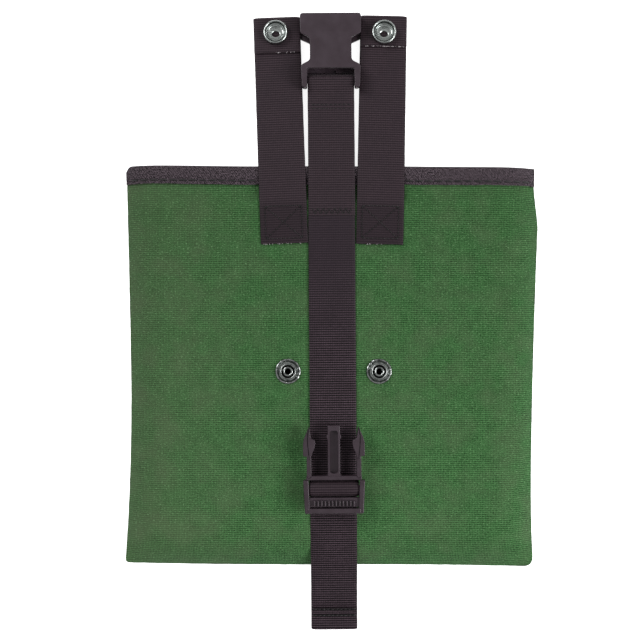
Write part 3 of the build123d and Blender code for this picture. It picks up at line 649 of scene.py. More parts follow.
# %% Seam roll
SEAM_RADIUS = 0.75
SEAM_TOP = 0.985            # share of the side up to which the seam runs, just under the binding
STEPS = 130
SIDES = 8
seam_line = []
for i in range(STEPS):
    seam_line.append(outline_point(0.0, SEAM_TOP * (1 - i / STEPS)))
for i in range(STEPS):
    seam_line.append(outline_point(i / STEPS, 0.0))
for i in range(STEPS + 1):
    seam_line.append(outline_point(1.0, SEAM_TOP * i / STEPS))
roll_points, roll_uv = [], []
for i, (x, y) in enumerate(seam_line):
    before, after = seam_line[max(i - 1, 0)], seam_line[min(i + 1, len(seam_line) - 1)]
    along = Vector((after[0] - before[0], after[1] - before[1], 0)).normalized()
    out = Vector((-along.y, along.x, 0)) * -1
    radius = SEAM_RADIUS + 0.12 * waver(x, y, 4.0, 2.2)
    for k in range(SIDES):
        a = 2 * math.pi * k / SIDES
        p = Vector((x, y, SEAM - 0.42)) - out * 0.45 + out * radius * math.cos(a)
        p.z += radius * math.sin(a)
        roll_points.append(p * MM)
        roll_uv.append((x + 0.3 * k, y))
roll_faces = grid_faces(len(seam_line), SIDES, closed=True)
roll_faces.append(tuple(range(SIDES)))
roll_faces.append(tuple(len(roll_points) - 1 - k for k in range(SIDES)))
seam_roll = new_piece("canvas_seam_roll", roll_points, roll_faces, roll_uv, canvas)
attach(seam_roll, "bag")
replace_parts(seam_roll, "side_seam_thread")

# %% [markdown]
# ## The bound mouth
# A strip of twill tape is folded over the raw edge of each panel and sewn through. Its section is a narrow U,
# so it is swept along the mouth: at each step the U stands on the panel's own height there. The tape bulges
# softly between one stitch and the next.

# %% Mouth bindings
TAPE = 0.45
TAPE_DEPTH = 9.4
STITCH_INSET = 7.2
STITCH_PITCH = 5.2
REAR_TAPE_LIFT = 0.24
TAPE_COLUMNS = 340


def tape_bulge(x, offset):
    """How far the tape stands off the cloth: pulled down at each stitch, and loose between them."""
    stitched = math.exp(-((offset + STITCH_INSET) / 1.3) ** 2)
    between = abs(math.sin(math.pi * x / STITCH_PITCH))
    return 0.8 * (1 - stitched) + 0.12 * between * stitched + 0.2 * waver(x, offset, 3.2, 8.0)


def binding(name, height, seed):
    """A folded tape over the mouth edge of a panel whose outer face has that height."""
    top = [(-TAPE_DEPTH * (1 - i / 10), 1) for i in range(10)]
    nose = [(0.1, 1), (TAPE + 0.1, 0.4), (TAPE + 0.1, -0.4), (0.1, -1)]
    under = [(-TAPE_DEPTH * i / 6 * 0.94, -1) for i in range(7)]
    points, uv = [], []
    for c in range(TAPE_COLUMNS):
        u = -0.0015 + 1.003 * c / (TAPE_COLUMNS - 1)
        for k, (offset, side) in enumerate(top + nose + under):
            y = mouth_side(u) + offset * (1 - mouth_corner(u) / TAPE_DEPTH)
            if k < 2 or k == len(top + nose + under) - 1:
                y += 0.35 * waver(y, u * 210, 9.0, seed) + 0.15 * waver(u * 210, 0, 2.1, seed)
            x = left_side(y) + (right_side(y) - left_side(y)) * u
            z = height(x, min(y, mouth_side(u)), u, 1.0)
            if side > 0:
                z += TAPE * side + (tape_bulge(x, offset) if side == 1 else 0.1)
            else:
                z += -CLOTH + TAPE * side
            points.append(Vector((x, y, z)) * MM)
            uv.append((x, offset if side > 0 else -offset + 14))
    count = len(top + nose + under)
    faces = grid_faces(TAPE_COLUMNS, count, closed=True)
    faces.append(tuple(range(count)))
    faces.append(tuple(len(points) - 1 - k for k in range(count)))
    piece = new_piece(name, points, faces, uv, tape_cloth)
    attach(piece, "bag")
    print(name, "points", len(points))
    return piece


def rear_tape_height(*_):
    """The rear panel's tape is the same fold, which lies flat, a thread's height over the table."""
    return CLOTH + TAPE + REAR_TAPE_LIFT


front_binding = binding("twill_binding_front", panel_height, 4.4)
rear_binding = binding("twill_binding_rear", rear_tape_height, 6.1)
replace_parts(front_binding, "front_mouth_binding")
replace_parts(rear_binding, "rear_mouth_binding")

# %% [markdown]
# ## Stitches
# A lockstitch shows as a row of short bars, each dipping into a needle hole at both ends. `stitch_lines`
# walks along a path and makes one arched line of points for each stitch. The holes aren't cut: the dip hides
# them. The rear row is drawn tight, so it is thinner and lies under the tape.

# %% Stitch rows on the mouth
THREAD_RADIUS = 0.44
TIGHT = 0.34                # the rear row's share of that radius
ROW_MARGIN = 2.0            # from the end of the tape to the first stitch


def stitch_lines(path, pitch, surface, sunk=0.35, proud=0.2, cover=0.8):
    """Arched lines along the path, on a surface that gives a point for each pair of flat coordinates."""
    lines = []
    for (x0, y0), (x1, y1) in zip(path, path[1:]):
        count = max(1, round(math.hypot(x1 - x0, y1 - y0) / pitch))
        for i in range(count):
            line = []
            for k in range(7):
                t = (i + 0.5 + (k / 6 - 0.5) * cover) / count
                arch = proud - (proud + sunk) * abs(k / 3 - 1) ** 3
                line.append(surface(x0 + (x1 - x0) * t, y0 + (y1 - y0) * t, arch))
            lines.append(line)
    return lines


def mouth_place(x_flat, inset):
    """The point that far under the mouth's edge, and its share of the way across."""
    u = (x_flat + HALF) / (2 * HALF)
    y = mouth_side(u) - inset
    return left_side(y) + (right_side(y) - left_side(y)) * u, y, u


def on_front_tape(x_flat, inset, arch):
    x, y, u = mouth_place(x_flat, inset)
    return Vector((x, y, panel_height(x, y, u, 1.0) + TAPE + 0.42 + arch)) * MM


def on_rear_tape(x_flat, inset, arch):
    x, y, _ = mouth_place(x_flat, inset)
    return Vector((x, y, REAR_TAPE_LIFT - 0.3 * arch)) * MM


reach = HALF - ROW_MARGIN
row = [(-reach, STITCH_INSET), (reach, STITCH_INSET)]
front_row = threads("stitches_front_binding", stitch_lines(row, STITCH_PITCH, on_front_tape, cover=0.78),
                    THREAD_RADIUS * MM, thread, "bag")
rear_row = threads("stitches_rear_binding", stitch_lines(row, STITCH_PITCH, on_rear_tape, cover=0.62),
                   THREAD_RADIUS * MM * TIGHT, thread, "bag")
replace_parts(front_row, "front_binding_stitching")
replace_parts(rear_row, "rear_binding_stitching")

# %% [markdown]
# ## Webbing that follows a line
# A strap is a flat woven ribbon, so it is made as one: a line in the strap's own side view, a rounded section
# across it, and ribs that rise and fall along it. The line is first rounded at its corners by cutting each
# corner twice, then walked in steps of a fifth of a rib. Where the strap turns back on itself, for a hem or
# round a bar, the same ribbon simply follows the turn, as real webbing does.

# %% Webbing ribbon
WEB = 1.3
EDGE_SHARES = (0.0, 0.17, 0.34, 0.5, 0.64, 0.76, 0.86, 0.93, 0.97, 0.992)


def arc(centre, radius, start, end, steps=9):
    """Points round an arc, in degrees, with 0 towards +Y and 90 upwards."""
    angles = [math.radians(start + (end - start) * i / steps) for i in range(steps + 1)]
    return [(centre[0] + radius * math.cos(a), centre[1] + radius * math.sin(a)) for a in angles]


def walked(points, step, cuts=2):
    """Even steps along a line, with its corners rounded."""
    for _ in range(cuts):
        cut = [points[0]]
        for (y0, z0), (y1, z1) in zip(points, points[1:]):
            cut.append((0.75 * y0 + 0.25 * y1, 0.75 * z0 + 0.25 * z1))
            cut.append((0.25 * y0 + 0.75 * y1, 0.25 * z0 + 0.75 * z1))
        points = cut + [points[-1]]
    lengths = [math.hypot(b[0] - a[0], b[1] - a[1]) for a, b in zip(points, points[1:])]
    total, even, i, gone = sum(lengths), [], 0, 0.0
    count = max(2, round(total / step))
    for k in range(count + 1):
        target = total * k / count
        while i < len(lengths) - 1 and gone + lengths[i] < target:
            gone += lengths[i]
            i += 1
        t = (target - gone) / max(lengths[i], 1e-9)
        (y0, z0), (y1, z1) = points[i], points[i + 1]
        even.append((y0 + (y1 - y0) * t, z0 + (z1 - z0) * t))
    return even, total / count


def ribbon(name, line, place, seed, width, rib, cloth, first_rib=None, frayed=0.25, along=0.0):
    """A webbing strap along a line of (y, z) points in millimetres. place puts it in the frame.

    Its ribs may grow from first_rib to rib, and `along` is where on the cloth's pattern it begins.
    """
    path, step = walked(line, RIB_PITCH / 5)
    shares = [-s for s in reversed(EDGE_SHARES[1:])] + list(EDGE_SHARES)
    ring = [(-1.0, 0.0)] + [(s, 1.0) for s in shares] + [(1.0, 0.0)] + [(s, -1.0) for s in reversed(shares)]
    points, uv = [], []
    for i, (y, z) in enumerate(path):
        (ya, za), (yb, zb) = path[max(i - 1, 0)], path[min(i + 1, len(path) - 1)]
        length = math.hypot(yb - ya, zb - za)
        ty, tz = (yb - ya) / length, (zb - za) / length
        s = i * step
        from_end = min(i, len(path) - 1 - i) * step
        rib_here = rib if first_rib is None else first_rib + (rib - first_rib) * ease((s - 20) / 60)
        for share, side in ring:
            across = share * width / 2 * (1 + 0.006 * waver(s, share, 7.0, seed))
            selvedge = (1 - abs(share) ** 10) ** 0.5 if side else 0.0
            wave = 0.5 - 0.5 * math.cos(2 * math.pi * (s / RIB_PITCH + (0.5 if side < 0 else 0.0)))
            yarn = 0.75 + 0.25 * waver(across, s, 1.1, seed + 2)
            rise = rib_here * (wave - 0.5) * yarn * min(1.0, (1 - abs(share)) / 0.06) if side else 0.0
            out = side * (WEB / 2 * selvedge - rib_here / 2 + rise)
            loose = frayed * waver(across, 0, 1.5, seed + 5) * (1 - ease(from_end / 1.2))
            points.append(place @ (Vector((across, y - tz * out + ty * loose, z + ty * out)) * MM))
            uv.append((across + (0 if side >= 0 else 40), s + along))
    count = len(ring)
    faces = grid_faces(len(path), count, closed=True)
    faces.append(tuple(range(count)))
    faces.append(tuple(len(points) - 1 - k for k in range(count)))
    piece = new_piece(name, points, faces, uv, cloth)
    smoothed(piece, math.radians(70))
    print(name, "length", round(step * (len(path) - 1)), "mm, points", len(points))
    return piece


# %% [markdown]
# ## Where each strap lies
# Each fold is a hinge in the frame, whose axis runs across the strap a little over it. That gives the strap's
# root, the way it leans on the bag, and the height of its upper face. A strap's free part falls from there to
# the table, so it is turned about the same axis by its slope. The snaps stand in those root frames, where
# they meet when a hanger is folded. The webbing itself is laid a little askew round its snap, as sewn straps
# are.

# %% Strap frames
def strap_root(joint, anchor):
    """The strap's frame at its fold line: Y along the strap, Z = 0 on its upper face, X across."""
    place = Vector(joints[joint]["pos_m"])
    axis = Vector(joints[joint]["axis"])
    lean = math.atan2(axis.y, axis.x) if axis.x > 0 else math.atan2(-axis.y, -axis.x)
    place.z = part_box(anchor)[1].z
    return Matrix.Translation(place) @ Matrix.Rotation(lean, 4, "Z")


def fallen(points, slope, fold_arm):
    """Points of the free part, turned down about the fold's axis."""
    c, s = math.cos(slope), math.sin(slope)
    return [(y * c + (z - fold_arm) * s, -y * s + (z - fold_arm) * c + fold_arm) for y, z in points]


ANCHOR_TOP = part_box("left_hanger_anchor")[1].z
FOLD_ARM = (joints["left_hanger_fold"]["pos_m"][2] - ANCHOR_TOP) / MM
HANGER_SLOPE = math.radians(abs(joints["left_hanger_fold"]["range_deg"][0]) - 180)
HANGER_LENGTH, HANGER_HEM, SNAP_REACH = 100.3, 18.9, 91.3
MIDDLE = -WEB / 2


def hanger_line(hem, sewn, reach, lift):
    """From the sewn end, over the fold line, out to the free end, and back as a hem."""
    end = reach - WEB / 2 - 0.1
    turn = WEB / 2 + 0.04
    free = [(8.0, MIDDLE), (30.0, MIDDLE + lift), (60.0, MIDDLE - lift / 2), (end - 3, MIDDLE)]
    free += arc((end - 0.1, MIDDLE + turn), turn, -90, 90)
    free += [(end - 4, MIDDLE + 2 * turn), (reach - hem + 4, MIDDLE + 2 * turn)]
    free += [(reach - hem, MIDDLE + 2 * turn + 0.35)]
    return [(-sewn, MIDDLE - 0.05), (-20.0, MIDDLE), (-2.0, MIDDLE)] + fallen(free, HANGER_SLOPE, FOLD_ARM)


HANGER_WIDTH = 25.2
PAST_SEWING = 30.0          # a place on the pattern past the darker first stretch
HANGERS = {
    # its hem, its sewn end, its reach from the fold line, and its turn in degrees
    "left": (HANGER_HEM + 0.5, 23.1, HANGER_LENGTH, 0.0),
    "right": (HANGER_HEM - 2.1, 23.5, HANGER_LENGTH + 0.9, 0.3),
}
ASIDE = Vector((0.2 * MM, 0, 0))
roots, laid = {}, {}
for seed, (side, (hem, sewn, reach, turn_out)) in enumerate(HANGERS.items()):
    roots[side] = strap_root(side + "_hanger_fold", side + "_hanger_anchor")
    snap = Vector((0, SNAP_REACH * MM, 0))
    laid[side] = (roots[side] @ Matrix.Translation(snap - ASIDE)
                  @ Matrix.Rotation(-math.radians(turn_out), 4, "Z") @ Matrix.Translation(-snap))
    strap = ribbon(f"webbing_hanger_{side}", hanger_line(hem, sewn, reach, 0.25), laid[side], 20.0 + seed,
                   HANGER_WIDTH, 0.08, webbing_cloth)
    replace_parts(strap, side + "_hanger_anchor", side + "_hanger_strap")
    start, end = (roots[side] @ (Vector((0, y, 0)) * MM) for y in (-4.0, 4.5))
    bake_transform(strap)
    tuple(start)
    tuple(end)

# %% [markdown]
# ## The buckle strap
# The centre strap is one long piece of webbing that is sewn to the bag at a bar tack. Above the tack it runs
# out to the socket half, goes round its bar and is sewn back under itself. Below the tack it lies loose on
# the bag, runs through the plug half and ends in a hem. The two stretches turn on different hinges, so they
# are two ribbons that meet under the tack. The sag over the bottom of the bag is a few given points.

# %% Buckle strap
centre_root = strap_root("upper_strap_fold", "buckle_strap_anchor")
bar = centre_root.inverted() @ Vector(joints["socket_swivel"]["pos_m"]) / MM
BAR_BELOW = FOLD_ARM + WEB / 2
bar_length = math.hypot(bar.y, bar.z - FOLD_ARM)
BAR_REACH = math.sqrt(bar_length ** 2 - BAR_BELOW ** 2)
UPPER_SLOPE = math.atan2(FOLD_ARM - bar.z, bar.y) - math.atan2(BAR_BELOW, BAR_REACH)
TACK = (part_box("lower_buckle_strap")[1].y / MM - joints["upper_strap_fold"]["pos_m"][1] / MM) + 0.1
WRAP = 1.6 + 0.1 + WEB / 2

upper_line = [(10.0, MIDDLE), (30.0, MIDDLE + 0.15), (BAR_REACH - 12, MIDDLE), (BAR_REACH - 8, MIDDLE + 0.25)]
upper_line += [(BAR_REACH - 3.4, MIDDLE + WRAP * 0.8)]
upper_line += arc((BAR_REACH, MIDDLE), WRAP, 100, -100, 12)
upper_line += [(BAR_REACH - 3.4, MIDDLE - WRAP * 0.97), (BAR_REACH - 9, MIDDLE - WEB - 0.4)]
upper_line += [(BAR_REACH - 12, MIDDLE - WEB - 0.05), (BAR_REACH - 17, MIDDLE - WEB - 0.05)]
upper_line = [(TACK, MIDDLE), (-2.0, MIDDLE)] + fallen(upper_line, UPPER_SLOPE, FOLD_ARM)
upper_strap = ribbon("webbing_buckle_strap_upper", upper_line, centre_root, 31.0, 25.0, 0.12, webbing_cloth,
                     frayed=0.1, along=PAST_SEWING)
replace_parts(upper_strap, "buckle_strap_anchor", "upper_buckle_strap")
start, end = (centre_root @ (Vector((0, y, 0)) * MM) for y in (-4.0, 4.5))
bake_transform(upper_strap)
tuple(start)
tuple(end)

TAIL_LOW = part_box("lower_buckle_strap")[0]
TAIL_SPARE = 1.7            # the loose tail hangs that much further
LOWER_LEAN = 0.0072         # radians, the lie of the loose stretch on the bag
tack_y = centre_root.translation.y / MM + TACK
over = ANCHOR_TOP / MM
turn = WEB / 2 + 0.04
tail = TAIL_LOW.y / MM + WEB / 2 - TAIL_SPARE
lower_line = [(tack_y, over + MIDDLE), (tack_y - 3, over + MIDDLE), (tack_y - 8, over + MIDDLE + 0.2)]
lower_line += [(20, over + MIDDLE + 0.2), (-104, over + MIDDLE + 0.2), (-113, over - 1.3), (-122, over - 3.3)]
lower_line += [(-134, over - 6.3), (-148, 3.6), (-158, 2.0), (tail + 1.5, 1.15)]
lower_line += arc((tail + 0.2, 1.15 + turn), -turn, 90, -90)
lower_line += [(-158, 2.0 + 2 * turn), (tail + 10.6, 2.9 + 2 * turn)]
lower_place = Matrix.Translation((-0.1 * MM, 0, 0)) @ Matrix.Rotation(LOWER_LEAN, 4, "Z")
lower_strap = ribbon("webbing_buckle_strap_lower", lower_line, lower_place, 37.0, 24.9, 0.34, ribbed_cloth,
                     first_rib=0.12)
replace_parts(lower_strap, "lower_buckle_strap")
start, end = ((0, (tack_y - down) * MM, STRAP_HEIGHT) for down in (0.5, 9))
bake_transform(lower_strap)
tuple(start)
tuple(end)

# %% [markdown]
# ## Sewing on the straps
# Each hanger is held by a box with a cross in it, the centre strap by a zigzag bar tack, and its loop by a
# double row. The hem has one row of stitches and a painted shadow: a row of dark thread along its cut edge.
# The thread is dark like the webbing, and darker still as painted shade of the stitch grooves, so it reads as
# a fine dark line.

# %% Strap stitches
def on_strap(place, level=0.0, slope=0.0):
    """A surface for stitches in a strap's own frame."""
    def surface(x, y, arch):
        (y2, z2), = fallen([(y, level + arch)], slope, FOLD_ARM)
        return place @ (Vector((x, y2, z2)) * MM)
    return surface


BOX_HALF, BOX_TOP, BOX_LOW = 9.7, -3.1, -20.4
box_path = [(-BOX_HALF, BOX_LOW), (BOX_HALF, BOX_LOW), (BOX_HALF, BOX_TOP), (-BOX_HALF, BOX_TOP),
            (-BOX_HALF, BOX_LOW), (BOX_HALF, BOX_TOP)]
for side in ("left", "right"):
    lines = stitch_lines(box_path, 2.1, on_strap(laid[side]), proud=0.16, cover=0.86)
    cross = [(-BOX_HALF, BOX_TOP), (BOX_HALF, BOX_LOW)]
    lines += stitch_lines(cross, 2.1, on_strap(laid[side]), proud=0.24, cover=0.86)
    box = threads(f"stitches_box_{side}", lines, 0.23 * MM, thread, "bag")
    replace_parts(box, side + "_hanger_stitching")

tack_path = []
for i in range(15):
    tack_path.append((-10.5 + 1.5 * i, TACK + (0.6 if i % 2 else 4.6)))
lines = stitch_lines(tack_path, 4.5, on_strap(centre_root), proud=0.1, cover=0.96)
tack = threads("stitches_bar_tack", lines, 0.2 * MM, thread, "bag")
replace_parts(tack, "buckle_strap_bartack")

lines = []
for back in (15.3, 13.2):
    path = [(-10.6, BAR_REACH - back), (10.6, BAR_REACH - back)]
    lines += stitch_lines(path, 2.4, on_strap(centre_root, slope=UPPER_SLOPE), proud=0.12, cover=0.84)
loop = threads("stitches_loop", lines, 0.2 * MM, thread, "upper_strap")
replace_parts(loop, "loop_stitching")



def on_tail(x, y, arch):
    return lower_place @ (Vector((x, y, 2.75 + 3 * turn + arch)) * MM)


lines = []
# The row at 11.0 mm, with almost full cover, is a painted shadow along the hem's cut edge. The row at 7.6 mm is
# the hem's stitching.
for back, cover in ((11.0, 0.98), (7.6, 0.84)):
    lines += stitch_lines([(-11.6, tail + back), (11.6, tail + back)], 2.4, on_tail, cover=cover)
tail_stitches_and_shadow_line = threads("tail_stitches_and_painted_shadow", lines, 0.34 * MM, thread, "lower_strap")
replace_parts(tail_stitches_and_shadow_line, "tail_hem_stitching")

# %% [markdown]
# ## Snap fasteners
# Each snap is stamped from sheet brass, so every part of it is round and can be turned from a profile: pairs
# of radius and height, spun about one axis. A cap under the strap sends a barrel up through the webbing,
# which is rolled over inside a cup, a little to one side. The stud on the canvas is held by an eyelet in the
# same way. A crimped edge is never quite round, so the stud's flange wavers. The faces inside a bore get a
# nearly black painted shade as a second material.

# %% Snap profiles
HEM_FACE = WEB + 0.06
TURNED_SIDES = 72
CAP_BORE, EYELET_BORE = 1.96, 1.4
SPRING_RING, SPRING_LEVEL = 4.05, 2.95
CAP_PROFILE = [(0, -1.50), (2.2, -1.42), (4.0, -1.16), (5.3, -0.82), (6.05, -0.50), (6.3, -0.25), (6.3, 0),
               (2.3, 0), (2.3, 3.0), (2.45, 3.2), (2.9, 3.1), (3.2, 3.15), (3.3, 3.35), (3.1, 3.58),
               (2.7, 3.66), (2.25, 3.55), (1.95, 3.2), (1.9, 0.1), (0, 0.1)]
CUP_PROFILE = [(2.4, 0), (6.1, 0), (6.38, 0.3), (6.44, 2.7), (6.42, 3.1), (6.28, 3.4), (6.02, 3.54),
               (5.76, 3.48), (5.58, 3.26), (5.5, 2.9), (5.46, 1.5), (5.35, 1.1), (5.15, 1.1), (5.02, 1.5),
               (4.98, 2.3), (4.9, 2.52), (4.74, 2.54), (4.6, 2.35), (4.5, 1.5), (4.3, 1.1), (3.9, 0.95),
               (3.1, 0.95), (2.4, 0.95)]
STUD_PROFILE = [(1.6, 0), (6.6, 0), (6.92, 0.22), (6.95, 0.55), (6.72, 0.84), (6.3, 0.92), (5.9, 0.8),
                (5.55, 0.5), (5.2, 0.36), (4.6, 0.34), (3.9, 0.42), (3.65, 0.7), (3.6, 2.0), (3.8, 2.3),
                (4.15, 2.55), (4.30, 2.9), (4.26, 3.25), (4.02, 3.48), (3.72, 3.46), (3.5, 3.25),
                (3.42, 2.8), (3.38, 1.3), (3.2, 1.1), (1.6, 1.05)]
EYELET_PROFILE = [(0, -1.5), (4.3, -1.5), (4.5, -1.35), (4.5, -0.95), (1.55, -0.95), (1.55, 2.3),
                  (1.9, 2.3), (2.4, 2.36), (2.64, 2.6), (2.62, 2.95), (2.42, 3.18), (2.1, 3.22), (1.8, 3.1),
                  (1.55, 2.8), (1.36, 2.3), (1.3, 1.5), (1.3, 0), (0, 0)]


def turned(name, profile, place, material, body, bore=0.0, crimp=0.0, seed=0.0, skew=0.0):
    """A closed profile of (radius, height) in millimetres, spun about Z. Bore faces get a painted shade."""
    points = []
    for i in range(TURNED_SIDES):
        a = 2 * math.pi * i / TURNED_SIDES
        for r, z in profile:
            loose = crimp * ease((r - 4.7) / 1.2)
            r2 = r * (1 - 0.05 * loose * (0.5 + 0.5 * waver(math.cos(a) * 9, math.sin(a) * 9, 2.2, seed)))
            z2 = z * (1 + 0.35 * loose * waver(math.cos(a) * 9, math.sin(a) * 9, 1.6, seed + 3))
            aside = skew * ease((z - 0.3) / 1.5) if r < 3 else 0.0
            points.append(place @ (Vector((r2 * math.cos(a), r2 * math.sin(a) - aside, z2)) * MM))
    count = len(profile)
    faces = []
    for i in range(TURNED_SIDES):
        j = (i + 1) % TURNED_SIDES
        for k in range(count):
            n = (k + 1) % count
            faces.append((i * count + k, j * count + k, j * count + n, i * count + n))
    piece = new_piece(name, points, faces, material=material)
    # Painted shade: the faces inside the bore take the nearly black second material.
    piece.data.materials.append(bore_painted_shade)
    for face in piece.data.polygons:
        k = face.index % count
        face.material_index = int(max(profile[k][0], profile[(k + 1) % count][0]) <= bore)
    bm = bmesh.new()
    bm.from_mesh(piece.data)
    bmesh.ops.remove_doubles(bm, verts=bm.verts, dist=1e-7)
    bmesh.ops.dissolve_degenerate(bm, edges=bm.edges, dist=1e-7)
    bmesh.ops.recalc_face_normals(bm, faces=bm.faces)
    bm.to_mesh(piece.data)
    bm.free()
    smoothed(piece, math.radians(50))
    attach(piece, body)
    return piece


def free_end(slope):
    """The frame of a strap's free part, from its root."""
    arm = Matrix.Translation((0, 0, FOLD_ARM * MM))
    return arm @ Matrix.Rotation(-slope, 4, "X") @ arm.inverted()


# %% Snaps
for side, offset in (("left", -0.9), ("right", 0.0)):
    hanger = side + "_hanger"
    strap_end = roots[side] @ free_end(HANGER_SLOPE)
    on_hem = strap_end @ Matrix.Translation(Vector((offset, SNAP_REACH, HEM_FACE)) * MM)
    under = strap_end @ Matrix.Translation(Vector((offset, SNAP_REACH, -WEB)) * MM)
    on_bag = roots[side] @ Matrix.Translation(Vector((offset, -SNAP_REACH, -WEB)) * MM)
    cap = turned(f"snap_cap_{side}", CAP_PROFILE, under, nickel, hanger, CAP_BORE, skew=0.9)
    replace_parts(cap, side + "_snap_cap")
    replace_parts(turned(f"snap_cup_{side}", CUP_PROFILE, on_hem, nickel, hanger), side + "_snap_socket")
    ring = []
    for i in range(61):
        a = math.radians(15 + 330 * i / 60)
        place = Vector((SPRING_RING * math.cos(a), SPRING_RING * math.sin(a), SPRING_LEVEL))
        ring.append(on_hem @ (place * MM))
    spring = threads(f"snap_spring_{side}", [ring], 0.3 * MM, nickel, hanger)
    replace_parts(spring, side + "_snap_spring")
    stud = turned(f"snap_stud_{side}", STUD_PROFILE, on_bag, worn_nickel, "bag", crimp=1.0, seed=offset + 2)
    eyelet = turned(f"snap_eyelet_{side}", EYELET_PROFILE, on_bag, worn_nickel, "bag", EYELET_BORE)
    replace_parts(stud, side + "_stud")
    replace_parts(eyelet, side + "_stud_eyelet")
print("snaps", 2)

# %% [markdown]
# ## Moulding the buckle
# An injection-moulded part is built here the way its mould is drawn: flat outlines are raised to a thickness,
# with every outer edge rounded, and then joined and cut. `moulded` does the first, by stacking shrunken
# copies of the outline near both faces. `joined` does the second with exact Booleans. Half outlines are given
# for the right-hand side and mirrored, so both sides always match. `finished` closes the mesh and gives its
# large flat faces the say in the shading, so that they look flat right up to the rounded edges.

# %% Moulding helpers
def softened(corners, radius, edge=0.0, steps=4):
    """A closed outline, anticlockwise, with rounded corners. A corner may carry its own radius."""
    out = []
    for i, corner in enumerate(corners):
        p = Vector(corner[:2])
        r = corner[2] if len(corner) > 2 else radius
        before, after = Vector(corners[i - 1][:2]) - p, Vector(corners[(i + 1) % len(corners)][:2]) - p
        if before.cross(after) < 0:
            r = max(r, 1.6 * edge)
        a = p + before.normalized() * min(r, before.length * 0.45)
        b = p + after.normalized() * min(r, after.length * 0.45)
        for k in range(steps + 1):
            t = k / steps
            out.append(tuple(a * (1 - t) ** 2 + p * (2 * t * (1 - t)) + b * t ** 2))
    return out


def shrunk(outline, depth):
    """The outline moved inwards by a depth. It runs anticlockwise."""
    out = []
    for i, p in enumerate(outline):
        p = Vector(p)
        a = (p - Vector(outline[i - 1])).normalized()
        b = (Vector(outline[(i + 1) % len(outline)]) - p).normalized()
        inward = Vector((-a.y - b.y, a.x + b.x)).normalized()
        cosine = max(inward.dot(Vector((-a.y, a.x))), 0.5)
        out.append(p + inward * (depth / cosine))
    for _ in range(4):
        for i, p in enumerate(outline):
            n = (i + 1) % len(outline)
            if (out[n] - out[i]).dot(Vector(outline[n]) - Vector(p)) < 0:
                out[i] = out[n] = (out[i] + out[n]) / 2
    return out


def cleaned(blank):
    """Merges points that lie on each other and drops faces without area."""
    bm = bmesh.new()
    bm.from_mesh(blank.data)
    bmesh.ops.remove_doubles(bm, verts=bm.verts, dist=0.004)
    bmesh.ops.dissolve_degenerate(bm, edges=bm.edges, dist=0.004)
    bmesh.ops.recalc_face_normals(bm, faces=bm.faces)
    bm.to_mesh(blank.data)
    bm.free()
    return blank


def moulded(corners, low, high, edge=0.4, radius=0.5, steps=3):
    """A plate from an outline in millimetres, with rounded outer edges."""
    area = sum(a[0] * b[1] - b[0] * a[1] for a, b in zip(corners, corners[1:] + corners[:1]))
    outline = softened(corners if area > 0 else corners[::-1], radius, edge)
    layers = [(0.0, low)]
    if edge:
        angles = [math.pi / 2 * i / steps for i in range(steps + 1)]
        layers = [(edge * (1 - math.sin(a)), low + edge * (1 - math.cos(a))) for a in angles]
    layers += [(depth, high + low - z) for depth, z in reversed(layers)]
    points, count = [], len(outline)
    for depth, z in layers:
        points += [Vector((p.x, p.y, z)) for p in shrunk(outline, depth)]
    faces = grid_faces(len(layers), count, closed=True)
    faces.append(tuple(range(count)))
    faces.append(tuple(len(points) - 1 - k for k in range(count)))
    return cleaned(new_piece("moulded_blank", points, faces))


def bar_blank(radius, half, centre=(0, 0), sides=24):
    """A round bar along X through (y, z)."""
    points = []
    ends = (-half, radius - 0.2), (-half + 0.2, radius), (half - 0.2, radius), (half, radius - 0.2)
    for x, r in ends:
        for k in range(sides):
            a = 2 * math.pi * k / sides
            points.append(Vector((x, centre[0] + r * math.cos(a), centre[1] + r * math.sin(a))))
    faces = grid_faces(4, sides, closed=True)
    faces.append(tuple(range(sides)))
    faces.append(tuple(len(points) - 1 - k for k in range(sides)))
    return new_piece("bar_blank", points, faces)


def rectangle(x, y):
    return [(x[0], y[0]), (x[1], y[0]), (x[1], y[1]), (x[0], y[1])]


def both_sides(half_outline):
    """A whole outline from its right-hand half."""
    return list(half_outline) + [(-p[0],) + tuple(p[1:]) for p in reversed(half_outline)]


def flipped(corners):
    return [(-p[0],) + tuple(p[1:]) for p in reversed(corners)]


def joined(base, others, operation="UNION"):
    """Boolean of a blank with others, which are used up."""
    for other in others:
        modifier = base.modifiers.new("shape", "BOOLEAN")
        modifier.object, modifier.operation, modifier.solver = other, operation, "EXACT"
        applied(base)
        bpy.data.objects.remove(other)
    return base


def finished(blank, name, place, body, *nodes):
    """Names the moulding, puts it in its place and lets it ride on its body."""
    blank.name = blank.data.name = name
    blank.data.materials.clear()
    blank.data.materials.append(acetal)
    bm = bmesh.new()
    bm.from_mesh(blank.data)
    bmesh.ops.remove_doubles(bm, verts=bm.verts, dist=0.003)
    bmesh.ops.dissolve_degenerate(bm, edges=bm.edges, dist=0.003)
    bmesh.ops.delete(bm, geom=[edge for edge in bm.edges if not edge.link_faces], context="EDGES")
    bmesh.ops.holes_fill(bm, edges=bm.edges, sides=6)
    open_edges = sum(not edge.is_manifold for edge in bm.edges)
    bm.to_mesh(blank.data)
    bm.free()
    blank.data.transform(place @ Matrix.Scale(MM, 4))
    smoothed(blank, math.radians(34))
    blank.modifiers.new("flat_faces", "WEIGHTED_NORMAL").keep_sharp = True
    applied(blank)
    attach(blank, body)
    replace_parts(blank, *nodes)
    print(name, "faces", len(blank.data.polygons), "open edges", open_edges)


# %% [markdown]
# ## The socket half
# A hollow block with a waist, open at the waist so that the plug's arms can be squeezed. Its lower plate
# shows as a second, darker edge beside the upper one. Two arms carry the webbing bar, with a window between
# the bar and the block. The block is open to the window, and a notched lip closes it from below.

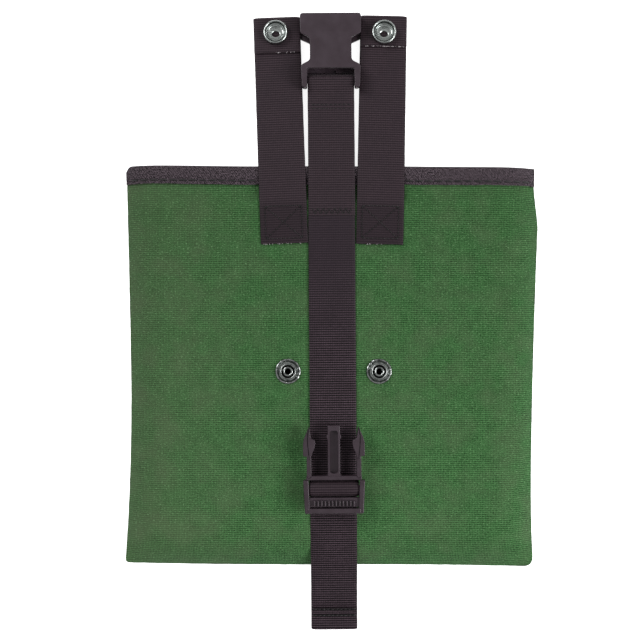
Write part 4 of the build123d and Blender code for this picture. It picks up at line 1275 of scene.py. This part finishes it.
# %% Socket half
axis = Vector(joints["upper_strap_fold"]["axis"])
lean = Matrix.Rotation(math.atan2(axis.y, axis.x), 4, "Z")
tilt = Matrix.Rotation(-math.radians(joints["upper_strap_fold"]["range_deg"][1] - 180), 4, "X")
socket_place = Matrix.Translation(joints["socket_swivel"]["pos_m"]) @ lean @ tilt
shape = both_sides([(12.55, 5.8, 0.5), (12.7, -5.0, 1.2), (15.5, -4.6, 1.4), (16.0, 7.5, 1.6),
                    (11.15, 10.0, 1.5), (11.15, 22.4, 1.6), (16.3, 24.9, 1.1), (16.4, 35.7, 1.8)])
socket = moulded(shape, -3.4, 4.7, edge=0.35, radius=0.8, steps=3)
lower_lip = both_sides([(15.1, 7.1), (14.8, 8.4, 0.8), (11.15, 10.3, 1.0), (11.15, 21.4, 0.9),
                        (16.3, 23.7, 0.7), (16.3, 30.0)])
hollow = both_sides([(18.0, 9.6), (18.0, 26.4), (14.75, 26.4), (14.75, 40.0)])
window_side = rectangle((-11.6, 11.6), (5.0, 10.4))
under_tips = rectangle((-18.0, 18.0), (-6.0, -2.1))
notched = [(2.9, 6.4, 0.1), (2.9, 4.7, 0.3), (13.1, 4.7, 0.2), (13.1, 8.3), (-13.1, 8.3), (-13.1, 4.7, 0.2),
           (-2.9, 4.7, 0.3), (-2.9, 6.4, 0.1)]
cuts = [
    moulded(hollow, -3.3, 3.3, edge=0, radius=0.3),
    moulded(window_side, -3.25, 3.25, edge=0, radius=0.2),
    moulded(under_tips, -6.0, 0.6, edge=0, radius=0.2),
]
closing = [
    moulded(notched, -3.9, -2.5, edge=0),
    moulded(rectangle((-13.1, 13.1), (2.6, 8.2)), -4.5, -3.7, edge=0.2),
    moulded(rectangle((-13.1, 13.1), (3.4, 4.3)), -4.3, -2.2, edge=0.3, radius=0.3),
    bar_blank(1.6, 13.6),
]
joined(socket, [moulded(lower_lip, -4.6, -2.9, edge=0.3)])
joined(socket, cuts, "DIFFERENCE")
joined(socket, closing)
finished(socket, "acetal_buckle_socket", socket_place, "socket_half", "buckle_socket")

# %% [markdown]
# ## The plug half
# The plug is an open frame: a ladder lock for the webbing with a ribbed thumb plate and a lip, a crossbar,
# and a grooved tongue that guides it into the socket. Its two sprung arms are pieces of their own here, since
# each one moves. They are rooted in round seats in the frame.

# %% Plug half
ladder = Matrix.Translation(Vector(joints["plug_tilt"]["pos_m"]) + Vector((0, 0, 0.6 * MM)))
plug_place = ladder @ lean
rail = [(16.35, 4.9, 0.9), (13.5, 4.9, 0.8), (12.8, -12.8, 0.8), (15.5, -12.8, 1.0)]
crossbar = both_sides([(3.2, 4.9), (14.7, 4.9, 0.5), (14.7, 7.15, 0.5)])
gusset = both_sides([(3.2, 5.4), (4.5, 6.7, 0.2), (3.2, 8.3, 0.2)])
plug = moulded(crossbar, -2.6, 2.6, edge=0.45, radius=0.3)
tongue = both_sides([(3.3, 5.3), (3.3, 26.6, 0.1), (3.9, 27.0, 0.3), (3.9, 28.4, 0.3), (3.3, 28.8, 0.1),
                     (3.25, 33.7, 0.5)])
channel = both_sides([(2.2, 8.4, 1.9), (2.2, 31.0, 1.6)])
groove = moulded(channel, -0.3, 4.0, edge=0, radius=1.6)
guide = joined(moulded(tongue, -1.8, 2.2, edge=0.35, radius=0.3), [groove], "DIFFERENCE")
plate = rectangle((-14.2, 14.2), (-9.5, -4.5))
lip = both_sides([(14.1, -12.75, 0.9), (14.1, -9.9, 0.9)])
joined(plug, [
    moulded(gusset, -1.7, 1.5, edge=0),
    moulded(rail, -2.3, 2.3, edge=0.5),
    moulded(flipped(rail), -2.3, 2.3, edge=0.5),
    guide,
    moulded(plate, -2.1, 1.1, edge=0.25, radius=0.3),
    moulded(lip, -1.9, 2.6, edge=0.6),
    bar_blank(1.5, 14.8, (0, -0.6)),
])
GRIP_RIBS, GRIP_PITCH, GRIP_HALF = 12, 1.9, 0.48
for i in range(GRIP_RIBS):
    x = (i - (GRIP_RIBS - 1) / 2) * GRIP_PITCH
    grip = rectangle((x - GRIP_HALF, x + GRIP_HALF), (-9.0, -5.7))
    joined(plug, [moulded(grip, 0.6, 2.7, edge=0.35, radius=0.4)])
gap = rectangle((-12.6, 12.6), (-10.1, -9.3))
joined(plug, [moulded(gap, -0.6, 3.0, edge=0, radius=0.2)], "DIFFERENCE")
ARM_X, ARM_Y = 13.175, 7.15
for side in (-1, 1):
    angles = [k * math.pi / 8 for k in range(16)]
    seat = [(side * ARM_X + 1.26 * math.cos(a), ARM_Y + 1.26 * math.sin(a)) for a in angles]
    joined(plug, [moulded(seat, -6.0, 6.0, edge=0, radius=0.1)], "DIFFERENCE")
finished(plug, "acetal_buckle_plug", plug_place, "plug_half", "buckle_plug")

# %% Latch arms
knuckle = [math.radians(180 + 20 * k) for k in range(10)]
neck = [(ARM_X + 1.225 * math.cos(a), ARM_Y + 1.225 * math.sin(a), 0.1) for a in knuckle]
neck += [(14.4, 18.4), (11.95, 18.4)]
barb = [(12.3, 15.8, 0.5), (14.05, 15.8, 0.5), (14.05, 17.5, 0.2), (16.25, 17.5, 0.9), (16.25, 25.6, 2.0),
        (13.0, 33.3, 1.2), (12.1, 26.9, 0.8), (9.8, 26.0, 1.2), (9.8, 22.8, 2.2), (11.7, 18.6, 1.4)]
crease = [(12.6, 34.5, 0.1), (13.05, 34.5, 0.1), (14.2, 28.0, 1.5), (14.0, 23.0, 1.5), (13.1, 15.0, 0.1),
          (12.65, 15.0, 0.1), (13.5, 23.0, 1.5), (13.7, 27.9, 1.5)]
for side in ("left", "right"):
    turn_over = flipped if side == "left" else list
    arm = moulded(turn_over(neck), -2.3, 2.4, edge=0.3, radius=0.1)
    head = moulded(turn_over(barb), -2.7, 2.7, edge=0.3, radius=0.5)
    joined(head, [moulded(turn_over(crease), 2.0, 4.0, edge=0, radius=0.3)], "DIFFERENCE")
    joined(arm, [head])
    finished(arm, f"acetal_latch_arm_{side}", plug_place, side + "_arm", side + "_release_arm")

# %% [markdown]
# ## The turn of webbing in the plug
# The strap comes up through the ladder lock, goes over its bar and down again. This short turn moves with the
# plug.

# %% Webbing turn
foot = -4.05
line = [(4.1, foot), (4.0, -1.6), (3.3, -0.2), (1.6, 0.95), (-1.2, 1.05), (-3.0, 0.1), (-3.75, -1.6)]
line += [(-3.85, foot)]
bight = ribbon("webbing_turn", line, plug_place, 43.0, 26.4, 0.16, webbing_cloth, frayed=0.0,
               along=PAST_SEWING)
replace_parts(bight, "webbing_bight")
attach(bight, "strap_turn")

# %% [markdown]
# ## Cut ends
# Cut webbing frays: a few broken yarns stand out at each cut edge, paler where they are split. They are short
# bent threads with a fixed random seed.

# %% Loose yarns
random.seed(11)


def loose_yarns(name, place, y, x_range, count, length, level, body):
    """Short yarns across a cut edge of a strap, in the strap's own frame."""
    lines = []
    for _ in range(count):
        x = random.uniform(*x_range)
        reach_x, reach_y = random.uniform(-0.8, 0.8), random.uniform(0.15, 1.0) * length
        line = []
        for k in range(5):
            t = k / 4
            bent = Vector((x + reach_x * t, y + reach_y * (t - 0.5), level + 0.35 * math.sin(3 * t)))
            line.append(place @ (bent * MM))
        lines.append(line)
    return threads(name, lines, 0.13 * MM, cut_yarn, body)


for side, across, count in (("left", (-11.5, 8.0), 16), ("right", (-7.0, 1.0), 9)):
    sewn_end = -HANGERS[side][1]
    loose_yarns("yarns_anchor_" + side, laid[side], sewn_end, across, count, -0.9, -0.5, "bag")
for side, across, count, length in (("left", (-2.0, 9.5), 14, -1.0), ("right", (-9.5, 10.5), 44, -1.1)):
    hem, _, reach, _ = HANGERS[side]
    loose_yarns("yarns_hem_" + side, laid[side] @ free_end(HANGER_SLOPE), reach - hem, across, count,
                length, WEB * 0.8, side + "_hanger")
